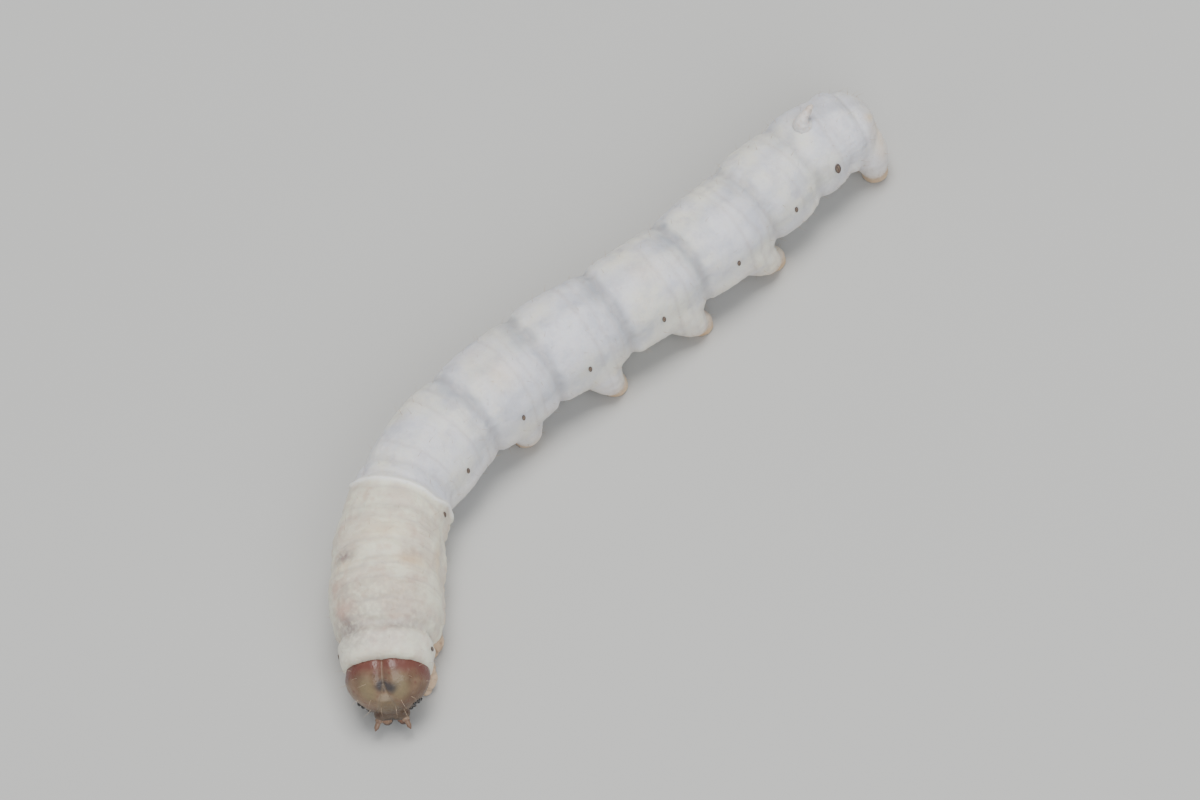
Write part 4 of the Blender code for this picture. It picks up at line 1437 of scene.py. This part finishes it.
@dataclass
class SimpleEyes:
    """The curved row of six glossy simple eyes low on each side of the head."""

    head: Head
    count: int = 6
    radius: float = 0.125
    ring: float = 0.31
    arc_deg: float = 250.0

    def make(self, side: Side) -> bpy.types.Mesh:
        """Build one side's eyes, each a dome in its low collar."""
        middle = self.head.spot(self.head.EYE_AIM, side)
        outward = unit(middle)
        upright = unit(np.array([0.0, 1.0, 0.0]) - outward * outward[1])
        across = np.cross(upright, outward)
        balls = []
        for number in range(self.count):
            turn = math.radians(self.arc_deg * (number / (self.count - 1) - 0.5))
            spot = across * math.cos(turn) * side.value + upright * math.sin(turn)
            place = self.head.shell(middle + spot * self.ring)[0]
            out = unit(place * (1.0, 1.0, 1.25))
            for radius, sink in ((self.radius, 0.02), (self.radius * 1.22, 0.085)):
                side_axis = unit(np.cross(out, (0.2, 0.5, 0.84)))
                axes = np.array([side_axis, np.cross(out, side_axis), out]) * radius
                balls.append(ball(self.head.out(place - out * sink), axes @ self.head.axes, 3))
        clay = Clay(joined(balls, "eyes"))
        clay.mark("tip", np.ones(len(clay.points)))
        return clay.settle()


@dataclass
class Antenna:
    """One short feeler of three articles with a bristle at its end."""

    head: Head
    length: float = 0.95
    sides: int = 28
    rings: int = 72

    def make(self, side: Side) -> bpy.types.Mesh:
        """Build one feeler from its soft socket to its tip."""
        root = self.head.spot(self.head.ANTENNA_AIM, side)
        outward = unit(root)
        lean = unit(outward + np.array([0.25 * side.value, 0.0, 0.55]))
        guides = [root - outward * 0.3, root, root + lean * self.length]
        path = along_guides([self.head.out(guide) for guide in guides], self.rings)
        shares = (0.0, 0.30, 0.50, 0.54, 0.57, 0.66, 0.74, 0.765, 0.79, 0.88, 0.93, 0.95, 1.0)
        widths = (0.30, 0.31, 0.27, 0.22, 0.20, 0.215, 0.20, 0.15, 0.13, 0.13, 0.11, 0.07, 0.02)
        places = np.linspace(0.0, 1.0, self.rings)
        clay = Clay(tube(path, np.interp(places, shares, widths), self.sides))
        along = shares_along(places, self.sides)
        rings = sum(bump(along - ring, 0.018) for ring in (0.55, 0.775))
        clay.mark("tip", np.clip(ramp(along, 0.55, 1.0) * 0.75 + 0.35 * rings, 0.0, 1.0))
        return clay.settle()


@dataclass
class Mandible:
    """One dark jaw with a toothed edge, behind the lip."""

    head: Head
    place: tuple = (0.42, -2.24, 0.66)
    half: tuple = (0.40, 0.48, 0.42)
    teeth: int = 5
    grain: Grain = field(default_factory=lambda: Grain(53))

    def make(self, side: Side) -> bpy.types.Mesh:
        """Build one jaw, its teeth towards the middle and the front."""
        clay = Clay(ball(np.zeros(3), np.identity(3), 6))
        across, upward, forward = clay.points.T
        shape = clay.points * self.half
        inner = ramp(-across, -0.1, 0.8)
        comb = np.abs(np.sin((forward + 1.0) * math.pi * self.teeth / 2.0)) ** 0.7
        low = ramp(-upward, 0.05, 0.75)
        shape[:, 1] -= (0.16 * comb - 0.06) * low * (0.4 + 0.6 * inner)
        shape[:, 0] += 0.12 * low * inner - 0.05
        shape[:, 2] -= 0.10 * inner * forward
        shape[:, 1] += 0.03 * self.grain(clay.points * 2.5)
        shape[:, 0] = np.maximum(shape[:, 0], -self.half[0] + 0.12)
        shape *= (side.value, 1.0, 1.0)
        centre = np.array(self.place) * (side.value, 1.0, 1.0)
        clay.points = self.head.out(centre + shape)
        clay.mark("tip", ramp(-upward, -0.2, 0.7))
        mesh = clay.settle()
        if side is Side.RIGHT:
            mesh.flip_normals()
        return mesh


@dataclass
class JointedLeg:
    """One short jointed leg of the thorax, down to its claw on the floor."""

    spine: Spine
    stride: float = 0.70
    knee_out: float = 0.28
    sides: int = 32
    rings: int = 120
    grain: Grain = field(default_factory=lambda: Grain(67))

    def make(self, segment: str, side: Side) -> bpy.types.Mesh:
        """Build the leg of one segment and side."""
        axis, left, _, along, root = self.spine.root(segment, LEG_SHARE, side.angle(LEG_ROOT_DEG))
        forward = unit(-along * (1.0, 1.0, 0.0))
        inward = unit(axis - root)
        knee = root + left * self.knee_out * side.value + forward * self.stride * 0.5
        knee[2] = root[2] * 0.6
        toe = root + forward * self.stride
        toe[2] = 0.02
        ankle = toe + (0.0, 0.0, root[2] * 0.12)
        path = along_guides([root + inward * 0.5, root, knee, ankle, toe], self.rings)
        places = np.linspace(0.0, 1.0, self.rings)
        shares = (0.0, 0.25, 0.36, 0.42, 0.45, 0.52, 0.60, 0.645, 0.67, 0.73, 0.80,
                  0.835, 0.86, 0.91, 0.96, 1.0)
        widths = (0.62, 0.64, 0.62, 0.55, 0.47, 0.50, 0.46, 0.40, 0.34, 0.37, 0.34,
                  0.27, 0.23, 0.20, 0.12, 0.03)
        radii = np.interp(places, shares, widths)
        radii = np.convolve(np.pad(radii, 1, mode="edge"), (0.25, 0.5, 0.25), "valid")
        clay = Clay(tube(path, radii, self.sides))
        along_leg = shares_along(places, self.sides)
        wrinkles = self.grain.ridges(clay.points * 3.4)
        soft = ramp(along_leg, 0.50, 0.30)
        clay.points -= clay.normals() * (0.02 * wrinkles * (0.4 + soft))[:, None]
        clay.points[:, 2] = np.maximum(clay.points[:, 2], 0.0)
        folds = sum(bump(along_leg - ring, 0.02) for ring in (0.445, 0.67, 0.86))
        clay.mark("tip", np.clip(ramp(along_leg, 0.80, 0.95) + 0.3 * folds, 0.0, 1.0))
        return clay.settle()


@dataclass
class Horn:
    """The short fleshy horn of the eighth abdominal segment."""

    spine: Spine
    share: float = 0.50
    length: float = 1.35
    lean_deg: float = 38.0
    widths: tuple = (0.62, 0.58, 0.48, 0.37, 0.28, 0.19, 0.08)
    sides: int = 40
    rings: int = 80
    grain: Grain = field(default_factory=lambda: Grain(71))

    def make(self) -> bpy.types.Mesh:
        """Build the horn with its ringed, warty skin."""
        _, _, up, along, root = self.spine.root("abdomen_8", self.share, math.pi / 2)
        lean = math.radians(self.lean_deg)
        tip = root + (up * math.cos(lean) + along * math.sin(lean)) * self.length
        path = along_guides([root - up * 0.3, root + up * self.length * 0.35, tip], self.rings)
        places = np.linspace(0.0, 1.0, self.rings)
        radii = hermite(np.linspace(0.0, 1.0, len(self.widths)), self.widths, places)
        radii *= np.sqrt(np.maximum(1.0 - np.maximum(places - 0.94, 0.0) ** 2 / 0.0038, 0.05))
        clay = Clay(tube(path, radii, self.sides))
        along_horn = shares_along(places, self.sides)
        rings = 0.5 + 0.5 * np.cos(along_horn * TURN * 6 + 1.5 * self.grain(clay.points))
        warts = ramp(self.grain(clay.points * 4.5), 0.15, 0.5)
        rise = 0.035 * warts - 0.022 * rings
        clay.points += clay.normals() * (rise * ramp(along_horn, 1.0, 0.9))[:, None]
        clay.mark("tip", ramp(along_horn, 0.55, 1.0) * 0.7)
        return clay.settle()


class Shape(Enum):
    """The small shapes that are set on the skin by the hundred."""

    HAIR = "hair"
    HOOK = "hook"
    BREATHING_HOLE = "breathing_hole"


PLANTING_KINDS = {"outward": "FLOAT_VECTOR", "lean": "FLOAT_VECTOR", "size": "FLOAT"}


@dataclass(frozen=True)
class Planting:
    """Places for small shapes, each with the way it points and the way it leans."""

    places: np.ndarray
    outward: np.ndarray
    lean: np.ndarray
    sizes: np.ndarray


@dataclass
class Planter:
    """Sets one small shape at many places with a tree of geometry nodes."""

    shape: Shape
    length: float
    thickness: float
    materials: tuple[bpy.types.Material, ...]

    RIM_SIDES = 28

    def build_tree(self) -> bpy.types.NodeTree:
        """Make the tree, with the shape's sizes as its named inputs."""
        tree = bpy.data.node_groups.new(f"plant_{self.shape.value}", "GeometryNodeTree")
        sockets = (("Geometry", "INPUT", "Geometry"), ("Length", "INPUT", "Float"),
                   ("Thickness", "INPUT", "Float"), ("Geometry", "OUTPUT", "Geometry"))
        for name, way, kind in sockets:
            tree.interface.new_socket(name=name, in_out=way, socket_type=f"NodeSocket{kind}")
        graph = Graph(tree)
        given = graph.node("NodeGroupInput").outputs
        length, thickness = Value(graph, given["Length"]), Value(graph, given["Thickness"])
        makers: dict[Shape, Callable] = {
            Shape.HAIR: self.hair,
            Shape.HOOK: self.hook,
            Shape.BREATHING_HOLE: self.breathing_hole,
        }
        single = makers[self.shape](graph, length, thickness)
        reads = {}
        for name, kind in PLANTING_KINDS.items():
            reads[name] = graph.node(
                "GeometryNodeInputNamedAttribute", {"data_type": kind}, {"Name": name}
            ).outputs["Attribute"]
        turned = graph.node(
            "FunctionNodeAxesToRotation", {"primary_axis": "Z", "secondary_axis": "X"},
            {"Primary Axis": reads["outward"], "Secondary Axis": reads["lean"]},
        )
        planted = graph.made(
            "GeometryNodeInstanceOnPoints",
            {"Points": given["Geometry"], "Instance": single,
             "Rotation": turned.outputs[0], "Scale": reads["size"]},
        )
        real = graph.made("GeometryNodeRealizeInstances", {0: planted})
        last = graph.made("GeometryNodeSetShadeSmooth", {0: real})
        if len(self.materials) == 1:
            last = self.coated(graph, last, 0)
        graph.node("NodeGroupOutput", None, {"Geometry": last})
        return tree

    def coated(self, graph: Graph, geometry: bpy.types.NodeSocket,
               number: int) -> bpy.types.NodeSocket:
        """Give a geometry one of the planter's materials."""
        sockets = {"Geometry": geometry, "Material": self.materials[number]}
        return graph.made("GeometryNodeSetMaterial", sockets)

    @staticmethod
    def together(graph: Graph, *parts: bpy.types.NodeSocket) -> bpy.types.NodeSocket:
        """Join geometries into one."""
        node = graph.node("GeometryNodeJoinGeometry")
        for part in parts:
            graph.tree.links.new(part, node.inputs[0])
        return node.outputs[0]

    @staticmethod
    def point(graph: Graph, across: object, upward: object) -> bpy.types.NodeSocket:
        """Combine a place in the plane of the lean from two numbers."""
        return graph.made("ShaderNodeCombineXYZ", {"X": across, "Z": upward})

    @staticmethod
    def circle(graph: Graph, sides: int, radius: Value) -> bpy.types.NodeSocket:
        """Make a circle as a curve."""
        sockets = {"Resolution": sides, "Radius": radius}
        return graph.made("GeometryNodeCurvePrimitiveCircle", sockets)

    def swept(self, graph: Graph, curve: bpy.types.NodeSocket, thickness: Value,
              sides: int, thin: float) -> bpy.types.NodeSocket:
        """Sweep a small round section that thins towards the curve's end."""
        factor = Value(graph, graph.node("GeometryNodeSplineParameter").outputs["Factor"])
        sockets = {
            "Curve": curve, "Profile Curve": self.circle(graph, sides, thickness),
            "Scale": 1.0 - factor * thin, "Fill Caps": True,
        }
        return graph.made("GeometryNodeCurveToMesh", sockets)

    def hair(self, graph: Graph, length: Value, thickness: Value) -> bpy.types.NodeSocket:
        """Make one bent hair that thins to its tip."""
        curve = graph.made(
            "GeometryNodeCurveQuadraticBezier",
            {"Resolution": 6, "Start": self.point(graph, 0.0, length * -0.12),
             "Middle": self.point(graph, length * 0.05, length * 0.55),
             "End": self.point(graph, length * 0.42, length)},
        )
        return self.swept(graph, curve, thickness, 4, 0.85)

    def hook(self, graph: Graph, length: Value, thickness: Value) -> bpy.types.NodeSocket:
        """Make one gripping hook."""
        curve = graph.made(
            "GeometryNodeCurvePrimitiveBezierSegment",
            {"Resolution": 7, "Start": self.point(graph, 0.0, length * -0.3),
             "Start Handle": self.point(graph, 0.0, length * 0.7),
             "End Handle": self.point(graph, length * 0.75, length * 0.75),
             "End": self.point(graph, length * 0.8, length * 0.1)},
        )
        return self.swept(graph, curve, thickness, 5, 0.8)

    def breathing_hole(self, graph: Graph, length: Value,
                       thickness: Value) -> bpy.types.NodeSocket:
        """Make one oval rim round a dark sunken plate with its slit."""
        rim = graph.made(
            "GeometryNodeCurveToMesh",
            {"Curve": self.circle(graph, self.RIM_SIDES, length),
             "Profile Curve": self.circle(graph, 8, thickness)},
        )
        plate = graph.node(
            "GeometryNodeMeshCircle", {"fill_type": "TRIANGLE_FAN"},
            {"Vertices": self.RIM_SIDES, "Radius": length},
        )
        slit = graph.made(
            "GeometryNodeMeshUVSphere", {"Segments": 16, "Rings": 8, "Radius": length}
        )
        slit = graph.made(
            "GeometryNodeTransform", {"Geometry": slit, "Scale": (0.62, 0.16, 0.10)}
        )
        dark = self.coated(graph, self.together(graph, rim, slit), 0)
        both = self.together(graph, dark, self.coated(graph, plate.outputs[0], 1))
        return graph.made("GeometryNodeTransform", {"Geometry": both, "Scale": (1.0, 0.50, 1.0)})

    def plant(self, planting: Planting) -> bpy.types.Mesh:
        """Set the shapes at their places.

        Args:
            planting: The places and directions, in millimetres.

        Returns:
            One plain mesh with its material.
        """
        mesh = bpy.data.meshes.new("places")
        mesh.from_pydata(planting.places.tolist(), [], [])
        clay = Clay(mesh)
        clay.mark("outward", planting.outward)
        clay.mark("lean", planting.lean)
        clay.mark("size", planting.sizes)
        obj = add_object("places", mesh)
        tree = self.build_tree()
        modifier = obj.modifiers.new("Plant", "NODES")
        modifier.node_group = tree
        sizes = {"Length": self.length, "Thickness": self.thickness}
        for item in tree.interface.items_tree:
            if item.name in sizes and item.in_out == "INPUT":
                modifier[item.identifier] = sizes[item.name]
        return evaluated(obj)


@dataclass
class Details:
    """The breathing holes, the short hairs and the sole hooks, set on the made skin."""

    spine: Spine
    skin_tree: BVHTree
    head: Head
    feet: list[Limb]
    seed: int = 5

    HAIR_ROWS = (72.0, 50.0, 26.0, -14.0, -32.0, -50.0)
    FOOT_HAIRS = 14
    HOOKS = 22
    HOOK_ARC_DEG = 210.0
    RAY_START = 4.5

    def on_skin(self, station: float, angle: float) -> tuple[np.ndarray, np.ndarray] | None:
        """Find the made skin outward from the axis at a station and an angle."""
        (axis,), (left,), (up,), _ = self.spine.frame(np.array([station]))
        way = left * math.cos(angle) + up * math.sin(angle)
        place, normal, _, _ = self.skin_tree.ray_cast(
            Vector((axis + way * self.RAY_START) * MM), Vector(-way)
        )
        if place is None:
            return None
        return np.array(place) / MM, np.array(normal)

    def breathing_holes(self) -> Planting:
        """Return the places of the nine pairs of breathing holes."""
        rows = []
        bearers = ("thorax_1",) + tuple(f"abdomen_{number}" for number in range(1, 9))
        for name, side in itertools.product(bearers, Side):
            share, degrees, size = (0.56, 12.0, 1.15) if name == "abdomen_8" else (0.42, 7.0, 0.68)
            station = self.spine.station(name, share)
            found = self.on_skin(station, side.angle(degrees))
            if found:
                _, _, (up,), _ = self.spine.frame(np.array([station]))
                place, _ = found
                near = self.skin_tree.find_nearest_range(Vector(place * MM), 0.35 * MM)
                normal = unit(np.mean([np.array(hit[1]) for hit in near], axis=0))
                rows.append((place + normal * 0.02, normal, up, size))
        return self.planting(rows)

    def hairs(self) -> Planting:
        """Return the places of the sparse short hairs of the body and the prolegs."""
        draw = np.random.default_rng(self.seed)
        rows = []
        for segment, start in zip(SEGMENTS, self.spine.joints):
            count = max(2, round(segment.length / 1.1))
            for row_deg, number, side in itertools.product(self.HAIR_ROWS, range(count), Side):
                share = (number + 0.5 + draw.uniform(-0.3, 0.3)) / count
                angle = side.angle(row_deg + draw.uniform(-8.0, 8.0))
                found = self.on_skin(start + segment.length * share, angle)
                lean = draw.normal(size=3) + (0.0, 0.8, 0.0)
                size = draw.uniform(0.5, 1.1)
                if found and found[0][2] > 0.4:
                    rows.append((found[0], unit(found[1] + 0.2 * lean), lean, size))
        for foot in self.feet:
            for _ in range(self.FOOT_HAIRS):
                turn = draw.uniform(0.0, TURN)
                level = draw.uniform(0.35, 1.3)
                index = int(np.abs(foot.path[:, 2] - level).argmin())
                way = Vector((math.cos(turn), math.sin(turn), 0.0))
                start = Vector(foot.path[index] * MM)
                place, normal, _, _ = self.skin_tree.ray_cast(start, way)
                lean = draw.normal(size=3)
                size = draw.uniform(0.5, 0.9)
                if place is not None and (place - start).length < 1.3 * MM:
                    rows.append((np.array(place) / MM, np.array(normal), lean, size))
        return self.planting(rows)

    def head_hairs(self) -> Planting:
        """Return the places of the hairs of the head capsule."""
        draw = np.random.default_rng(self.seed + 1)
        rows = []
        for turn, tilt in ((12, 48), (34, 40), (58, 34), (22, 8), (46, 4), (72, 6), (30, -22),
                           (88, -8), (80, 34), (14, -14), (70, -44), (96, 20)):
            for side in Side:
                aim = (turn + draw.uniform(-4, 4), tilt + draw.uniform(-4, 4))
                place = self.head.spot(aim, side)
                outward = unit(place) @ self.head.axes
                lean = draw.normal(size=3) * 0.5 - (0.0, 0.0, 0.6)
                rows.append((self.head.out(place), outward, lean, draw.uniform(0.8, 1.5)))
        return self.planting(rows)

    def hooks(self) -> Planting:
        """Return the places of the hooks round the inner edge of every sole."""
        rows = []
        for foot in self.feet:
            sole = foot.path[-1]
            station, _, _ = self.spine.locate(sole[None])
            (axis,), _, _, _ = self.spine.frame(station)
            base = math.atan2(axis[1] - sole[1], axis[0] - sole[0])
            for number in range(self.HOOKS):
                part = number / (self.HOOKS - 1)
                turn = base + math.radians(self.HOOK_ARC_DEG * (part - 0.5))
                way = np.array([math.cos(turn), math.sin(turn), 0.0])
                long = 1.0 if number % 2 else 0.72
                place = sole + way * 0.60 + (0.0, 0.0, 0.14)
                rows.append((place, unit(way + (0.0, 0.0, -0.25)), np.array([0, 0, -1.0]), long))
        return self.planting(rows)

    @staticmethod
    def planting(rows: list[tuple]) -> Planting:
        """Gather rows of place, outward, lean and size."""
        return Planting(*(np.array(column, dtype=float) for column in zip(*rows)))


@dataclass
class Studio:
    """The pale floor, the soft lights and the camera at the photograph's angle."""

    spine: Spine
    azimuth_deg: float = 48.82
    elevation_deg: float = 54.16
    roll_deg: float = 15.28
    distance: float = 479.2
    lens: float = 273.7
    aim: tuple[float, float, float] = (-0.31, 19.17, 3.05)
    floor_half: float = 0.9
    floor_level: float = -0.00002

    def floor(self) -> None:
        """Lay the pale floor."""
        mesh = bpy.data.meshes.new("floor")
        corners = [(x * self.floor_half, y * self.floor_half, self.floor_level)
                   for x, y in ((-1, -1), (1, -1), (1, 1), (-1, 1))]
        mesh.from_pydata(corners, [], [(0, 1, 2, 3)])
        mesh.materials.append(FloorFinish("pale_board", 0.85, specular=0.2).make())
        floor = add_object("floor", mesh)

    def lamp(self, name: str, place: tuple, size: float, power: float, colour: Colour) -> None:
        """Hang one soft square lamp that faces the animal."""
        data = bpy.data.lights.new(name, "AREA")
        data.size = size
        data.energy = power
        data.color = colour
        lamp = add_object(name, data)
        lamp.location = place
        lamp.rotation_euler = (-Vector(place)).to_track_quat("-Z", "Y").to_euler()

    def light(self) -> None:
        """Light the animal softly from above, as under an open sky."""
        self.lamp("sky_key", (0.04, 0.06, 0.62), 0.30, 3.8, (1.0, 0.985, 0.96))
        self.lamp("sky_fill", (0.45, -0.24, 0.42), 0.45, 2.6, (0.95, 0.97, 1.0))
        self.lamp("front_fill", (-0.25, -0.50, 0.22), 0.40, 0.5, (1.0, 0.98, 0.95))
        world = bpy.data.worlds.new("soft_room")
        world.use_nodes = True
        background = world.node_tree.nodes["Background"]
        background.inputs[0].default_value = (0.80, 0.84, 0.90, 1.0)
        background.inputs[1].default_value = 0.36
        bpy.context.scene.world = world

    def camera(self) -> None:
        """Set the camera at the photograph's place about the animal."""
        turn, tilt = math.radians(self.azimuth_deg), math.radians(self.elevation_deg)
        roll = math.radians(self.roll_deg)
        view = Vector((-math.sin(turn) * math.cos(tilt), math.cos(turn) * math.cos(tilt),
                       -math.sin(tilt)))
        right = Vector((math.cos(turn), math.sin(turn), 0.0))
        level_up = right.cross(view)
        up = level_up * math.cos(roll) + right * math.sin(roll)
        target = Vector(np.array(self.aim) + self.spine.shift)
        data = bpy.data.cameras.new("camera")
        data.lens = self.lens
        data.clip_start = 0.02
        camera = add_object("camera", data)
        axes = Matrix((view.cross(up), up, -view)).transposed()
        place = Matrix.Translation((target - view * self.distance) * MM)
        camera.matrix_world = place @ axes.to_4x4()
        bpy.context.scene.camera = camera


def main() -> None:
    """Build the animal's pieces in order, then the studio."""
    logging.basicConfig(level=logging.INFO, format="%(message)s")
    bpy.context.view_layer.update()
    spine = Spine()
    head = Head(spine)
    logging.info("neck joint at %s mm", np.round(spine.shift, 3))

    skin_finish = SkinFinish("soft_skin", 0.50, subsurface=0.35, subsurface_reach=0.9,
                             sheen=0.12, specular=0.42).make()
    capsule_finish = CapsuleFinish("head_shell", 0.40, coat=0.12, coat_roughness=0.22,
                                   specular=0.4).make()
    eye_finish = HardFinish("eye_lens", 0.14, coat=0.6, coat_roughness=0.05,
                            root=(0.012, 0.010, 0.010), tip=(0.012, 0.010, 0.010)).make()
    leg_finish = HardFinish("leg_shell", 0.38, subsurface=0.15, subsurface_reach=0.3).make()
    feeler_finish = HardFinish("feeler_shell", 0.38, root=(0.34, 0.23, 0.15),
                               tip=(0.10, 0.045, 0.03), fleck=(0.20, 0.12, 0.08)).make()
    jaw_finish = HardFinish("jaw_shell", 0.24, coat=0.3, root=(0.22, 0.10, 0.055),
                            tip=(0.03, 0.014, 0.010)).make()
    horn_finish = HardFinish("horn_skin", 0.50, subsurface=0.25, subsurface_reach=0.5,
                             root=(0.70, 0.68, 0.67), tip=(0.56, 0.43, 0.33),
                             fleck=(0.62, 0.55, 0.50)).make()
    hook_finish = HardFinish("hook_shell", 0.25, root=(0.20, 0.09, 0.035),
                             tip=(0.05, 0.02, 0.01)).make()
    rim_finish = HardFinish("hole_rim", 0.30, root=(0.075, 0.055, 0.050),
                            tip=(0.04, 0.03, 0.03), fleck=(0.12, 0.085, 0.07)).make()
    plate_finish = HardFinish("hole_plate", 0.6, root=(0.30, 0.22, 0.16),
                              tip=(0.06, 0.045, 0.035), fleck=(0.18, 0.12, 0.085)).make()
    hair_finish = HardFinish("fine_hair", 0.35, root=(0.44, 0.34, 0.24),
                             tip=(0.34, 0.25, 0.17), fleck=(0.38, 0.28, 0.19)).make()

    body = BodySkin(spine)
    feet = body.limbs()
    flesh = [segment.name for segment in SEGMENTS] + [foot.name for foot in feet]
    skin = dress(body.make(), "skin", skin_finish, "abdomen_skin", *flesh)
    dress(HeadCapsule(head).make(), "capsule", capsule_finish, "head_capsule", "head")
    for side in Side:
        word = side.word
        dress(SimpleEyes(head).make(side), f"simple_eyes_{word}", eye_finish,
              "simple_eyes", f"eye_{word}")
        dress(Antenna(head).make(side), f"feeler_{word}", feeler_finish,
              "feelers", f"antenna_{word}")
        dress(Mandible(head).make(side), f"jaw_{word}", jaw_finish,
              "jaws", f"mandible_{word}")
        for number, segment in enumerate(LEG_BEARERS, start=1):
            dress(JointedLeg(spine).make(segment, side), f"jointed_leg_{number}_{word}",
                  leg_finish, "thorax_legs", f"leg_{number}_{word}")
    dress(Horn(spine).make(), "tail_horn", horn_finish, "horn_skin", "horn")

    graph = bpy.context.evaluated_depsgraph_get()
    details = Details(spine, BVHTree.FromObject(skin, graph), head, feet)
    holes = Planter(Shape.BREATHING_HOLE, 0.27, 0.048, (rim_finish, plate_finish))
    dress(holes.plant(details.breathing_holes()), "breathing_holes", rim_finish, "abdomen_skin")
    hairs = Planter(Shape.HAIR, 0.42, 0.011, (hair_finish,))
    dress(hairs.plant(details.hairs()), "body_hairs", hair_finish, "abdomen_skin")
    dress(hairs.plant(details.head_hairs()), "head_hairs", hair_finish, "head_capsule")
    hooks = Planter(Shape.HOOK, 0.16, 0.020, (hook_finish,))
    dress(hooks.plant(details.hooks()), "sole_hooks", hook_finish, "proleg_skin")

    studio = Studio(spine)
    studio.floor()
    studio.light()
    studio.camera()


if __name__ == "__main__":
    main()
